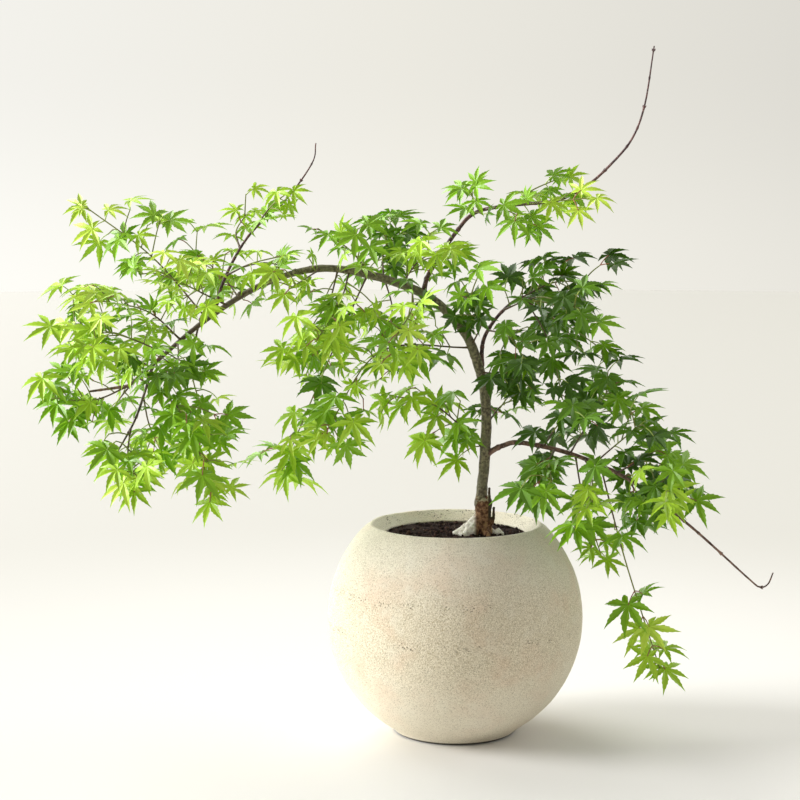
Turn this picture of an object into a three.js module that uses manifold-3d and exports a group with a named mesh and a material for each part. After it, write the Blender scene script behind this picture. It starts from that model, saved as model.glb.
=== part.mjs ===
// A young Japanese maple kept as a bonsai: a slim trunk that leans over into one long arch, in a round pot.
//
// Millimetres, +Z up. The origin is the centre of the pot's flat underside, +X points to the side of the low
// bough and -Y to the side that the tree shows best.
//
// The limbs are tapering tubes along smooth routes. Each mass of foliage is one shoot: a twig from a limb,
// with opposite pairs of lobed leaves and short side twigs, set by one seeded rule. A mass keeps to the space
// that lies nearer to its own twigs than to any other mass's, and clear of the limbs and of the pot.
import * as THREE from 'three';
import ManifoldModule from 'manifold-3d';

const wasm = await ManifoldModule();
wasm.setup();

// The gap that solids keep where they meet.
const GAP = 0.3;

// The pot is a thick-walled ball with a flat foot and an open mouth, whose lip slopes in to the soil.
const POT = {
  radius: 130,
  centre: 118,
  foot: 60,
  mouth: 82,
  height: 213.5,
  wall: 19,
  floor: 19,
  turns: 24,
};

// Soil: its level at the trunk, how far it sinks towards the wall, and the flat round the trunk.
const SOIL = { level: 203, sink: 0.8, flat: 26 };

// Routes of the limbs. The trunk and the two lengths of its arch share one route.
const ROUTES = {
  arch: [
    [27, 0, 190], [26, 1, 232], [30, 4, 283], [31, 7, 330], [25, 7, 366], [12, 5, 401], [-8, 2, 426],
    [-34, 0, 446], [-84, -5, 464], [-137, -11, 471], [-193, -17, 455], [-249, -23, 420], [-298, -28, 379],
    [-325, -30, 355],
  ],
  rising_bough: [
    [-33, 0, 446], [-26, 5, 467], [0, 15, 506], [20, 20, 526], [54, 24, 533], [101, 27, 538], [131, 28, 552],
    [156, 27, 574], [177, 24, 600], [189, 22, 634], [197, 18, 691],
  ],
  low_bough: [
    [31, 4, 283], [47, 0, 292], [67, -6, 296], [119, -18, 285], [175, -28, 260], [232, -38, 217],
    [289, -45, 166], [301, -46, 157], [309, -46, 160], [314, -45, 171],
  ],
  fork_bough: [[26, 7, 372], [28, 12, 397], [39, 18, 417], [56, 24, 434], [70, 28, 441]],
  left_whip: [
    [-240, -22, 426], [-230, -14, 461], [-206, -2, 504], [-170, 8, 539], [-144, 13, 575], [-140, 14, 595],
  ],
  tip_stub: [[-323, -30, 356], [-343, -28, 353], [-364, -27, 350]],
  bare_twig: [[-300, -28, 377], [-310, -34, 344], [-317, -38, 324], [-327, -41, 305], [-345, -45, 275]],
};

// Where the trunk ends and the arch divides, as shares of the arch's route.
const TRUNK_END = 0.455;
const CREST_END = 0.68;

// Limbs: route, the stretch of it, radius at the start and at the end, number of sides and of steps.
const LIMBS = [
  ['trunk', 'arch', 0, TRUNK_END, 5.9, 4.5, 8, 16],
  ['arch_crest', 'arch', TRUNK_END, CREST_END, 4.4, 3.3, 8, 10],
  ['arch_fall', 'arch', CREST_END, 1, 3.2, 1.7, 7, 12],
  ['rising_bough', 'rising_bough', 0, 1, 2.4, 0.7, 5, 20],
  ['low_bough', 'low_bough', 0, 1, 2.7, 0.7, 5, 24],
  ['fork_bough', 'fork_bough', 0, 1, 2.3, 1.4, 5, 7],
  ['left_whip', 'left_whip', 0, 1, 1.8, 0.6, 5, 12],
  ['tip_stub', 'tip_stub', 0, 1, 1.6, 1.1, 5, 3],
  ['bare_twig', 'bare_twig', 0, 1, 1.5, 0.7, 5, 6],
];

// Root flare at the soil: direction in degrees, reach, height of its back and thickness.
const ROOTS = [
  [198, 25, 13, 6.5],
  [290, 16, 12, 5.2],
  [20, 15, 11, 5.0],
  [105, 16, 12, 5.2],
];
// Dead snags beside the trunk's foot: where each one leaves it, its top, and its radius.
const SNAGS = [
  [[28, 0, 226], [36.5, -4, 232], [37, -4.5, 246], 1.7],
  [[28, 1, 212], [41, -3, 214], [42, -3.5, 231], 1.5],
];

// Masses of foliage: name, limb's route, place along it, tip of the stem, how far its middle bows off the
// straight line in x and z, leaf pairs, side twigs, first pair's place, leaf length and the seed's number.
const MASSES = [
  ['left_high', 'arch', 0.832, [-372, 10, 533], [7, 5], 4, 2, 0.3, 29, 1],
  ['left_crown', 'arch', 0.793, [-287, -70, 470], [2, -1], 3, 1, 0.3, 30, 2],
  ['left_crown_back', 'arch', 0.770, [-270, 60, 481], [7, 0], 2, 1, 0.35, 31, 3],
  ['left_mid_a', 'arch', 0.919, [-389, 5, 417], [8, 1], 3, 1, 0.3, 32, 4],
  ['left_mid_b', 'arch', 0.886, [-346, -75, 443], [7, 9], 3, 1, 0.3, 30, 5],
  ['left_mid_c', 'arch', 0.952, [-356, -100, 402], [4, 4], 2, 0, 0.35, 30, 6],
  ['left_inner', 'arch', 0.893, [-279, -85, 361], [5, 5], 2, 0, 0.35, 30, 7],
  ['left_tip', 'arch', 0.997, [-398, -45, 345], [3, -8], 3, 0, 0.45, 30, 8],
  ['left_low_a', 'arch', 0.989, [-357, 45, 315], [-2, 0], 2, 0, 0.5, 29, 9],
  ['left_low_b', 'bare_twig', 0.598, [-308, -90, 271], [-6, -3], 3, 0, 0.3, 30, 10],
  ['left_low_c', 'arch', 0.977, [-236, -80, 254], [6, 22], 4, 1, 0.35, 31, 11],
  ['left_low_d', 'arch', 0.850, [-243, -5, 299], [-14, 9], 3, 1, 0.4, 30, 12],
  ['left_low_e', 'bare_twig', 0.293, [-295, 40, 266], [-6, 5], 3, 0, 0.4, 31, 13],
  ['whip_a', 'left_whip', 0.469, [-162, -25, 549], [-2, 3], 2, 0, 0.25, 25, 14],
  ['whip_b', 'left_whip', 0.349, [-212, 35, 524], [-7, 0], 2, 0, 0.4, 23, 15],
  ['whip_c', 'left_whip', 0.199, [-168, -35, 485], [-4, 2], 3, 1, 0.3, 30, 16],
  ['crest_left', 'arch', 0.627, [-162, -60, 454], [0, 0], 2, 0, 0.3, 29, 17],
  ['crest_a', 'arch', 0.545, [-137, -25, 511], [5, 2], 3, 1, 0.3, 30, 18],
  ['crest_b', 'arch', 0.493, [-9, -45, 494], [-5, 5], 3, 1, 0.3, 30, 19],
  ['crest_c', 'arch', 0.524, [-54, 60, 506], [-9, 3], 3, 1, 0.35, 29, 20],
  ['rise_a', 'rising_bough', 0.252, [13, -15, 549], [3, 0], 2, 0, 0.3, 25, 21],
  ['rise_b', 'rising_bough', 0.291, [133, -20, 541], [-6, 0], 4, 1, 0.15, 27, 22],
  ['rise_c', 'rising_bough', 0.368, [108, 55, 561], [-5, 1], 2, 0, 0.3, 26, 23],
  ['trunk_front', 'arch', 0.335, [10, -45, 444], [12, 2], 3, 0, 0.45, 28, 24],
  ['fork_top', 'fork_bough', 0.865, [142, 60, 452], [2, 11], 3, 1, 0.25, 29, 25],
  ['fork_front', 'fork_bough', 0.721, [118, -56, 434], [-1, 12], 2, 1, 0.3, 29, 26],
  ['fork_mid', 'fork_bough', 0.955, [156, 45, 383], [-2, 4], 3, 0, 0.3, 32, 27],
  ['fork_hang', 'fork_bough', 1.000, [105, -30, 342], [7, 3], 3, 0, 0.3, 30, 28],
  ['fork_low', 'fork_bough', 0.421, [65, -60, 386], [2, 8], 2, 0, 0.3, 28, 29],
  ['trunk_right', 'arch', 0.289, [72, -35, 356], [-3, 4], 2, 0, 0.3, 28, 30],
  ['trunk_right_low', 'arch', 0.200, [75, 55, 335], [-4, 7], 2, 0, 0.3, 28, 31],
  ['low_up_a', 'low_bough', 0.182, [113, -65, 340], [-4, -3], 3, 0, 0.3, 32, 32],
  ['low_up_b', 'low_bough', 0.262, [161, 35, 351], [-4, -6], 3, 1, 0.2, 33, 33],
  ['low_up_c', 'low_bough', 0.339, [182, -45, 320], [-3, -2], 3, 0, 0.22, 33, 34],
  ['low_mid', 'low_bough', 0.407, [223, 30, 267], [-1, 8], 3, 0, 0.25, 32, 35],
  ['low_end', 'low_bough', 0.500, [209, -80, 254], [-1, 7], 2, 0, 0.35, 29, 36],
  ['low_front_a', 'low_bough', 0.215, [90, -90, 269], [-4, 4], 2, 0, 0.35, 32, 37],
  ['low_front_b', 'low_bough', 0.306, [129, -95, 250], [3, 6], 2, 0, 0.35, 34, 38],
  ['low_back', 'low_bough', 0.446, [193, 45, 206], [5, 2], 2, 0, 0.3, 30, 39],
  ['low_hang_a', 'low_bough', 0.278, [148, -5, 180], [-5, 6], 3, 0, 0.35, 30, 40],
  ['low_hang_b', 'low_bough', 0.356, [201, -60, 78], [-5, 7], 3, 0, 0.62, 33, 41],
  ['under_a', 'arch', 0.581, [-137, -70, 403], [7, 4], 3, 1, 0.18, 30, 42],
  ['under_b', 'arch', 0.551, [-176, 15, 265], [2, 8], 4, 1, 0.3, 33, 43],
  ['under_c', 'arch', 0.332, [-131, -45, 308], [-19, 39], 4, 1, 0.3, 33, 44],
  ['under_d', 'arch', 0.159, [-66, -20, 345], [-3, 18], 3, 0, 0.2, 32, 45],
  ['under_e', 'arch', 0.475, [-60, -80, 409], [8, 3], 3, 0, 0.25, 31, 46],
  ['under_f', 'arch', 0.522, [-77, 60, 386], [10, 2], 2, 1, 0.3, 32, 47],
  ['under_g', 'arch', 0.600, [-153, 55, 358], [4, 6], 2, 1, 0.3, 30, 48],
];

// The rule that every shoot follows.
const RULE = {
  twigRadius: 1.25,
  tipRadius: 0.85,
  sideRadius: 0.95,
  stepLength: 34,
  petiole: 0.5,
  stalkWidth: 0.36,
  rootDepth: 0.12,
  leafThickness: 1.1,
  tries: 9,
  limbClearance: 1.1,
  cellMargin: 0.7,
  leafSpacing: 0.62,
  last: 0.94,
  tipPlace: 0.95,
  sidePlace: 0.88,
};

// A leaf's outline in its own plane: angle off the middle lobe in degrees, and distance from the petiole's
// joint as a share of the leaf's length. Tips and notches take turns, from the middle lobe to the hind one.
const LEAF_HALF = [[0, 1], [21, 0.5], [43, 0.96], [67, 0.44], [94, 0.8]];

const UP = new THREE.Vector3(0, 0, 1);
const vec = (p) => new THREE.Vector3(p[0], p[1], p[2]);
const mix = (a, b, t) => a + (b - a) * t;
const radians = (degrees) => (degrees * Math.PI) / 180;

// A seeded stream of numbers from 0 to 1.
function stream(seed) {
  let state = seed | 0;
  return () => {
    state = (state + 0x6d2b79f5) | 0;
    let t = Math.imul(state ^ (state >>> 15), state | 1);
    t = (t + Math.imul(t ^ (t >>> 7), t | 61)) ^ t;
    return ((t ^ (t >>> 14)) >>> 0) / 4294967296;
  };
}

// A route as an evenly stepped polyline.
function makeRoute(points, steps) {
  const curve = new THREE.CatmullRomCurve3(points, false, 'catmullrom', 0.5);
  const fine = curve.getPoints(steps);
  const lengths = [0];
  for (let i = 1; i < fine.length; i += 1) {
    lengths.push(lengths[i - 1] + fine[i].distanceTo(fine[i - 1]));
  }
  return { fine, lengths, total: lengths[steps] };
}

function pointAt(route, share) {
  const wanted = share * route.total;
  let i = 0;
  while (i < route.fine.length - 2 && route.lengths[i + 1] <= wanted) {
    i += 1;
  }
  const step = route.lengths[i + 1] - route.lengths[i];
  return route.fine[i].clone().lerp(route.fine[i + 1], (wanted - route.lengths[i]) / step);
}

function directionAt(route, share) {
  const ahead = pointAt(route, Math.min(share + 0.01, 1));
  return ahead.sub(pointAt(route, Math.max(share - 0.01, 0))).normalize();
}

// Manifold solid from a three.js geometry whose faces close up, and the way back.
function solidFrom(geometry) {
  const positions = geometry.getAttribute('position');
  const index = geometry.getIndex();
  const known = new Map();
  const vertices = [];
  const lookup = (i) => {
    const at = [positions.getX(i), positions.getY(i), positions.getZ(i)];
    const key = at.map((value) => Math.round(value * 1e4)).join(',');
    if (!known.has(key)) {
      known.set(key, vertices.length / 3);
      vertices.push(...at);
    }
    return known.get(key);
  };
  const faces = [];
  const corners = index ? index.count : positions.count;
  for (let i = 0; i < corners; i += 3) {
    const face = [0, 1, 2].map((k) => lookup(index ? index.getX(i + k) : i + k));
    if (face[0] !== face[1] && face[1] !== face[2] && face[2] !== face[0]) {
      faces.push(...face);
    }
  }
  return solid(vertices, faces);
}

function solid(vertices, faces) {
  const mesh = new wasm.Mesh({
    numProp: 3,
    vertProperties: new Float32Array(vertices),
    triVerts: new Uint32Array(faces),
  });
  return new wasm.Manifold(mesh);
}

function geometryFrom(body) {
  const mesh = body.getMesh();
  const geometry = new THREE.BufferGeometry();
  const positions = [];
  for (let i = 0; i < mesh.vertProperties.length; i += mesh.numProp) {
    positions.push(mesh.vertProperties[i], mesh.vertProperties[i + 1], mesh.vertProperties[i + 2]);
  }
  geometry.setAttribute('position', new THREE.Float32BufferAttribute(positions, 3));
  geometry.setIndex(Array.from(mesh.triVerts));
  geometry.computeVertexNormals();
  return geometry;
}

// Frames at places along a route, carried on without twist.
function framesAlong(route, places) {
  let side = new THREE.Vector3(0, 1, 0);
  return places.map((share) => {
    const along = directionAt(route, share);
    side = side.clone().addScaledVector(along, -side.dot(along)).normalize();
    const across = new THREE.Vector3().crossVectors(along, side);
    return { at: pointAt(route, share), along, side, across };
  });
}

// A tapering tube: a plain cylinder whose rings are set at places along the route. The radius is a function
// of the share of the tube's steps, and both ends may be drawn out by a little.
function tube(route, places, radiusAt, sides, extra = 0) {
  const steps = places.length - 1;
  const geometry = new THREE.CylinderGeometry(1, 1, 1, sides, steps);
  const frames = framesAlong(route, places);
  frames[0].at.addScaledVector(frames[0].along, -extra);
  frames[steps].at.addScaledVector(frames[steps].along, extra);
  const positions = geometry.getAttribute('position');
  for (let i = 0; i < positions.count; i += 1) {
    const ring = Math.round((positions.getY(i) + 0.5) * steps);
    const frame = frames[ring];
    const radius = radiusAt(ring / steps);
    const point = frame.at.clone();
    point.addScaledVector(frame.side, positions.getX(i) * radius);
    point.addScaledVector(frame.across, -positions.getZ(i) * radius);
    positions.setXYZ(i, point.x, point.y, point.z);
  }
  return solidFrom(geometry);
}

const routes = {};
for (const [name, points] of Object.entries(ROUTES)) {
  routes[name] = makeRoute(points.map(vec), 160);
}

function limbRadius(limb, share) {
  const [, , , , first, last] = limb;
  return mix(first, last, share);
}

function limbSolid(limb, swell) {
  const [, routeName, from, to, , , sides, steps] = limb;
  const places = heights(from, to, steps + 1);
  return tube(routes[routeName], places, (t) => limbRadius(limb, t) + swell, sides, swell);
}

// Straight or bent little tube between given points, with a ring at each step of its route.
function rod(route, first, last, sides) {
  const places = route.lengths.map((length) => length / route.total);
  return tube(route, places, (t) => mix(first, last, t), sides);
}

function largestPiece(body) {
  const pieces = body.decompose();
  return pieces.reduce((best, piece) => (piece.volume() > best.volume() ? piece : best));
}

// The trunk: its tube, the root flare and the snags in one solid, cut flat at the soil.
function trunkSolid(limb) {
  const foot = SOIL.level + GAP;
  // The foot spreads, and the graft above it stands out as a low ring.
  const graft = (t) => 1.1 * Math.exp(-(((t - 0.155) / 0.02) ** 2));
  const flare = (t) => limbRadius(limb, t) + 2.2 * Math.exp(-t * 24) + graft(t);
  let body = tube(routes.arch, heights(limb[2], limb[3], limb[7] + 1), flare, limb[6]);
  const [cx, cy] = ROUTES.arch[0];
  for (const [degrees, reach, rise, thickness] of ROOTS) {
    const dx = Math.cos(radians(degrees));
    const dy = Math.sin(radians(degrees));
    const points = [
      new THREE.Vector3(cx, cy, foot + rise),
      new THREE.Vector3(cx + dx * reach * 0.5, cy + dy * reach * 0.5, foot + rise * 0.35),
      new THREE.Vector3(cx + dx * reach, cy + dy * reach, foot - 1),
    ];
    body = body.add(rod(makeRoute(points, 2), thickness * 0.8, thickness * 0.75, 6));
  }
  for (const [start, knee, top, radius] of SNAGS) {
    body = body.add(rod(makeRoute([vec(start), vec(knee), vec(top)], 4), radius, radius * 0.45, 4));
  }
  return largestPiece(body.trimByPlane([0, 0, 1], foot));
}

// The pot's wall outside and inside, as distances from its axis at a height.
const outsideAt = (z) => Math.sqrt(POT.radius ** 2 - (z - POT.centre) ** 2);
const insideAt = (z) => Math.sqrt((POT.radius - POT.wall) ** 2 - (z - POT.centre) ** 2);

function heights(from, to, count) {
  return Array.from({ length: count }, (_, i) => mix(from, to, i / (count - 1)));
}

// Pot and soil share these heights, so that their walls stay side by side.
const INNER_HEIGHTS = [POT.floor, 40, 80, 120, 165, SOIL.level];

function potSolid() {
  const top = POT.height;
  const profile = [[0, 0], [POT.foot - 1, 0], [POT.foot + 1.5, 1.2]];
  for (const z of [6, 20, 40, 64, 90, 118, 146, 170, 190, 204]) {
    profile.push([outsideAt(z), z]);
  }
  profile.push([POT.mouth + 6.4, top - 2.2], [POT.mouth + 3.6, top], [POT.mouth + 0.6, top - 1.2]);
  for (const z of INNER_HEIGHTS.toReversed()) {
    profile.push([insideAt(z), z]);
  }
  profile.push([0, POT.floor]);
  return lathe(profile);
}

function lathe(profile) {
  const points = profile.map(([r, z]) => new THREE.Vector2(r, z));
  const geometry = new THREE.LatheGeometry(points, POT.turns);
  geometry.rotateX(Math.PI / 2);
  return solidFrom(geometry);
}

// Soil fills the pot. It lies flat round the trunk, and sinks in soft lumps towards the wall.
function soilSolid() {
  const profile = [[0, POT.floor + GAP]];
  for (const z of INNER_HEIGHTS) {
    const lift = z === POT.floor ? GAP : 0;
    profile.push([insideAt(z) - GAP * 1.6, Math.min(z + lift, SOIL.level - SOIL.sink)]);
  }
  for (const r of [60, 38, 18]) {
    profile.push([r, SOIL.level]);
  }
  profile.push([0, SOIL.level]);
  const points = profile.map(([r, z]) => new THREE.Vector2(r, z));
  const geometry = new THREE.LatheGeometry(points, POT.turns);
  geometry.rotateX(Math.PI / 2);
  const positions = geometry.getAttribute('position');
  for (let i = 0; i < positions.count; i += 1) {
    const [x, y, z] = [positions.getX(i), positions.getY(i), positions.getZ(i)];
    const away = Math.hypot(x - ROUTES.arch[0][0], y - ROUTES.arch[0][1]) - SOIL.flat;
    if (z > SOIL.level - 0.01 && away > 0) {
      const lumps = 0.5 + 0.5 * Math.sin(x * 0.13 + 1) * Math.cos(y * 0.17);
      positions.setZ(i, z - SOIL.sink * Math.min(away / 40, 1) * (0.4 + 0.6 * lumps));
    }
  }
  return solidFrom(geometry);
}

// Distance from a point to a polyline, and the share of its length where that is.
function nearestOn(path, point) {
  let best = Infinity;
  let share = 0;
  for (let i = 0; i + 1 < path.points.length; i += 1) {
    const a = path.points[i];
    const b = path.points[i + 1];
    const [abx, aby, abz] = [b.x - a.x, b.y - a.y, b.z - a.z];
    const [apx, apy, apz] = [point.x - a.x, point.y - a.y, point.z - a.z];
    const along = (apx * abx + apy * aby + apz * abz) / (abx * abx + aby * aby + abz * abz);
    const t = Math.min(Math.max(along, 0), 1);
    const distance = Math.hypot(apx - abx * t, apy - aby * t, apz - abz * t);
    if (distance < best) {
      best = distance;
      share = (i + t) / (path.points.length - 1);
    }
  }
  return { distance: best, share };
}

function pathOf(route, from, to, count) {
  return { points: heights(from, to, count).map((share) => pointAt(route, share)) };
}

const limbPaths = LIMBS.map((limb) => {
  const [, routeName, from, to, , , , steps] = limb;
  return { limb, ...pathOf(routes[routeName], from, to, 2 * steps + 1) };
});

// True where a point stays off the limbs and the pot.
function clearOfWood(point, clearance) {
  for (const path of limbPaths) {
    const near = nearestOn(path, point);
    if (near.distance < limbRadius(path.limb, near.share) + clearance) {
      return false;
    }
  }
  const low = point.z < POT.height + 3;
  return !(low && Math.hypot(point.x, point.y, point.z - POT.centre) < POT.radius + 3);
}

// A mass's stem, from the limb's axis to its tip, as a route.
function stemRoute(mass) {
  const [, routeName, place, tip, bow] = mass;
  const start = pointAt(routes[routeName], place);
  const end = vec(tip);
  const middle = start.clone().lerp(end, 0.5).add(new THREE.Vector3(bow[0], 0, bow[1]));
  const extra = Math.hypot(...bow) > 15 ? 3 : 0;
  const steps = Math.round(start.distanceTo(end) / RULE.stepLength) + extra;
  return makeRoute([start, middle, end], Math.max(3, steps));
}

// The two directions square to a twig, turned by an angle.
function crossways(along, angle) {
  const flat = Math.abs(along.z) < 0.9 ? UP : new THREE.Vector3(0, 1, 0);
  const side = new THREE.Vector3().crossVectors(along, flat).normalize();
  const rise = new THREE.Vector3().crossVectors(side, along);
  return side.multiplyScalar(Math.cos(angle)).addScaledVector(rise, Math.sin(angle));
}

// Twigs of a mass: its stem, and a side twig in place of one leaf at the first nodes.
function growTwigs(mass) {
  const [, , , , , pairs, sideTwigs, first, size, seed] = mass;
  const stem = stemRoute(mass);
  const draw = stream(seed * 7919);
  const phase = draw() * 1.2 - 0.6;
  const places = [];
  for (let node = 0; node < pairs; node += 1) {
    const share = mix(first, RULE.last, pairs > 1 ? node / (pairs - 0.5) : 0.5) + (draw() - 0.5) * 0.03;
    const turn = phase + (node % 2) * 1.25 + (draw() - 0.5) * 0.5;
    const at = pointAt(stem, share);
    const along = directionAt(stem, share);
    const across = crossways(along, turn);
    for (const sign of [1, -1]) {
      const outward = along.clone().multiplyScalar(0.6).addScaledVector(across, sign).normalize();
      const isSide = node < sideTwigs && sign === (node % 2 ? 1 : -1);
      places.push({ at, outward, young: node / pairs, isSide, turn });
    }
  }
  const along = directionAt(stem, 0.98);
  for (const sign of [1, -1]) {
    const outward = along.clone().addScaledVector(crossways(along, phase), sign * 0.55).normalize();
    places.push({ at: pointAt(stem, RULE.tipPlace), outward, young: 1, isSide: false, turn: phase });
  }
  const twigs = [{ route: stem, radii: [RULE.twigRadius, RULE.tipRadius] }];
  const feet = [];
  for (const place of places) {
    if (!place.isSide) {
      feet.push({ ...place, size });
      continue;
    }
    const reach = size * 1.5;
    const bend = place.at.clone().addScaledVector(place.outward, reach * 0.55);
    const end = place.at.clone().addScaledVector(place.outward, reach).addScaledVector(UP, -size * 0.2);
    const route = makeRoute([place.at, bend, end], 2);
    twigs.push({ route, radii: [RULE.sideRadius, RULE.tipRadius], side: true });
    const heading = directionAt(route, RULE.sidePlace);
    const across = crossways(heading, place.turn + 1.2);
    for (const sign of [1, -1]) {
      const outward = heading.clone().addScaledVector(across, sign * 0.8).normalize();
      const at = pointAt(route, RULE.sidePlace);
      feet.push({ at, outward, young: place.young, size: size * 0.94, twig: twigs.length - 1 });
    }
  }
  return { mass, twigs, feet };
}

const shoots = MASSES.map(growTwigs);
for (const shoot of shoots) {
  shoot.paths = shoot.twigs.map((twig) => ({ points: twig.route.fine }));
}
const nearestTwig = (shoot, point) => Math.min(...shoot.paths.map((path) => nearestOn(path, point).distance));

// True where a point is in the mass's own space.
function inOwnSpace(shoot, point, margin) {
  const own = nearestTwig(shoot, point) + margin;
  return shoots.every((other) => other === shoot || nearestTwig(other, point) > own);
}

// Side twigs that would leave the mass's space or touch a limb are skipped, with their leaves.
for (const shoot of shoots) {
  const bad = shoot.twigs.map((twig, i) => {
    const path = shoot.paths[i];
    return Boolean(twig.side) && path.points.slice(1).some((point) => !clearOfWood(point, 2));
  });
  shoot.feet = shoot.feet.filter((foot) => !bad[foot.twig ?? 0]);
  shoot.twigs = shoot.twigs.filter((_, i) => !bad[i]);
  shoot.paths = shoot.paths.filter((_, i) => !bad[i]);
}

// One leaf's pose and outline: joint of blade and petiole, axis, face and the outline's points.
function leafFrom(foot, size, draw, attempt) {
  const centred = () => 2 * draw() - 1;
  const loose = (width) => new THREE.Vector3(centred(), centred(), centred()).multiplyScalar(width);
  // Blades face up and out, to the back on leaves behind the tree's middle and to the front on the rest.
  const outer = foot.at.y + foot.outward.y * 25 > 24 ? 0.75 : -1;
  const face = new THREE.Vector3(-0.12, outer * (0.45 + 0.6 * draw()), 0.75);
  face.add(loose(0.35 + 0.08 * attempt)).normalize();
  const axis = foot.outward.clone().multiplyScalar(0.8).addScaledVector(UP, -0.55);
  axis.add(loose(0.3 + 0.05 * attempt));
  axis.addScaledVector(face, -axis.dot(face)).normalize();
  const stalk = foot.outward.clone().multiplyScalar(0.9).addScaledVector(UP, -0.15);
  stalk.addScaledVector(axis, 0.25).normalize();
  const joint = foot.at.clone().addScaledVector(stalk, RULE.petiole * size * (0.8 + 0.4 * draw()));
  const across = new THREE.Vector3().crossVectors(face, axis);
  const droop = 0.1 + 0.16 * draw();
  const outline = [];
  const spoke = (degrees, length) => {
    const angle = radians(degrees);
    const point = joint.clone().addScaledVector(axis, Math.cos(angle) * length * size);
    point.addScaledVector(across, Math.sin(angle) * length * size);
    return point.addScaledVector(face, -droop * length * length * size);
  };
  const corner = joint.clone().addScaledVector(axis, -RULE.stalkWidth);
  outline.push(corner.clone().addScaledVector(across, -RULE.stalkWidth));
  for (let i = LEAF_HALF.length - 1; i > 0; i -= 1) {
    outline.push(spoke(-LEAF_HALF[i][0], LEAF_HALF[i][1]));
  }
  for (const [degrees, length] of LEAF_HALF) {
    outline.push(spoke(degrees, length));
  }
  outline.push(corner.clone().addScaledVector(across, RULE.stalkWidth));
  return { foot, size, joint, axis, face, outline };
}

// Where a line between two points goes through a triangle.
function pierces(from, to, a, b, c) {
  const [dx, dy, dz] = [to.x - from.x, to.y - from.y, to.z - from.z];
  const [ux, uy, uz] = [b.x - a.x, b.y - a.y, b.z - a.z];
  const [vx, vy, vz] = [c.x - a.x, c.y - a.y, c.z - a.z];
  const [px, py, pz] = [dy * vz - dz * vy, dz * vx - dx * vz, dx * vy - dy * vx];
  const scale = ux * px + uy * py + uz * pz;
  if (Math.abs(scale) < 1e-9) {
    return false;
  }
  const [sx, sy, sz] = [from.x - a.x, from.y - a.y, from.z - a.z];
  const first = (sx * px + sy * py + sz * pz) / scale;
  if (first < 0 || first > 1) {
    return false;
  }
  const [qx, qy, qz] = [sy * uz - sz * uy, sz * ux - sx * uz, sx * uy - sy * ux];
  const second = (dx * qx + dy * qy + dz * qz) / scale;
  if (second < 0 || first + second > 1) {
    return false;
  }
  const along = (vx * qx + vy * qy + vz * qz) / scale;
  return along >= 0 && along <= 1;
}

// The lines that a leaf is tested by: its edge, its ribs, its stalk, and short pins through its blade.
function feelers(leaf) {
  const lines = [[leaf.joint, leaf.foot.at]];
  const pin = leaf.face.clone().multiplyScalar(RULE.leafThickness);
  leaf.outline.forEach((tip, i) => {
    lines.push([leaf.joint, tip]);
    if (i > 0) {
      lines.push([leaf.outline[i - 1], tip]);
    }
    for (const share of [0.35, 0.7]) {
      const middle = leaf.joint.clone().lerp(tip, share);
      lines.push([middle.clone().sub(pin), middle.clone().add(pin)]);
    }
  });
  return lines;
}

function cutsThrough(leaf, other) {
  return leaf.feelers.some(([from, to]) => {
    for (let i = 1; i < other.outline.length; i += 1) {
      if (pierces(from, to, other.joint, other.outline[i - 1], other.outline[i])) {
        return true;
      }
    }
    return false;
  });
}

function fits(shoot, leaf, placed) {
  if (placed.some((other) => other.joint.distanceTo(leaf.joint) < RULE.leafSpacing * leaf.size)) {
    return false;
  }
  const linesOf = ({ points }) => points.slice(1).map((point, i) => [points[i], point]);
  const twigLines = shoot.paths.flatMap(linesOf);
  if (cutsThrough({ feelers: twigLines }, leaf)) {
    return false;
  }
  const near = leaves.filter((other) => other.joint.distanceTo(leaf.joint) < leaf.size * 2.6);
  leaf.feelers = feelers(leaf);
  if (near.some((other) => cutsThrough(leaf, other) || cutsThrough(other, leaf))) {
    return false;
  }
  const stalk = leaf.joint.clone().lerp(leaf.foot.at, 0.5);
  const samples = [leaf.joint, stalk, ...leaf.outline];
  for (const tip of leaf.outline) {
    samples.push(tip.clone().lerp(leaf.joint, 0.5));
  }
  const free = (point) => clearOfWood(point, RULE.limbClearance) && inOwnSpace(shoot, point, RULE.cellMargin);
  return samples.every(free);
}

const leaves = [];

function growLeaves(shoot) {
  const seed = shoot.mass[9];
  const placed = [];
  shoot.feet.forEach((foot, number) => {
    for (let attempt = 0; attempt < RULE.tries; attempt += 1) {
      const draw = stream(seed * 100003 + number * 101 + attempt);
      const size = foot.size * (1 - 0.14 * foot.young) * (1 - 0.05 * attempt) * (0.94 + 0.12 * draw());
      const leaf = leafFrom(foot, size, draw, attempt);
      if (fits(shoot, leaf, placed)) {
        placed.push(leaf);
        leaves.push(leaf);
        return;
      }
    }
  });
  return placed;
}

// A leaf's solid: a thin double roof over its outline, and a three-sided stalk that runs into the twig.
function leafSolid(leaf) {
  const half = RULE.leafThickness / 2;
  const count = leaf.outline.length;
  const top = leaf.joint.clone().addScaledVector(leaf.face, half);
  const under = leaf.joint.clone().addScaledVector(leaf.face, -half);
  const last = count - 1;
  const [t, u, a, b, c] = [count, count + 1, count + 2, count + 3, count + 4];
  const run = leaf.foot.at.clone().sub(leaf.joint);
  run.setLength(run.length() - RULE.rootDepth);
  // The stalk's far end is its near end moved along.
  const roots = [leaf.outline[last], leaf.outline[0], top].map((point) => point.clone().add(run));
  const points = [...leaf.outline, top, under, ...roots];
  const faces = [u, 0, last];
  for (let i = 0; i < last; i += 1) {
    faces.push(t, i, i + 1, u, i + 1, i);
  }
  faces.push(t, last, a, t, a, c, 0, t, c, 0, c, b, last, 0, b, last, b, a, a, b, c);
  const vertices = points.flatMap((p) => [p.x, p.y, p.z]);
  return solid(vertices, faces);
}

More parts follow.
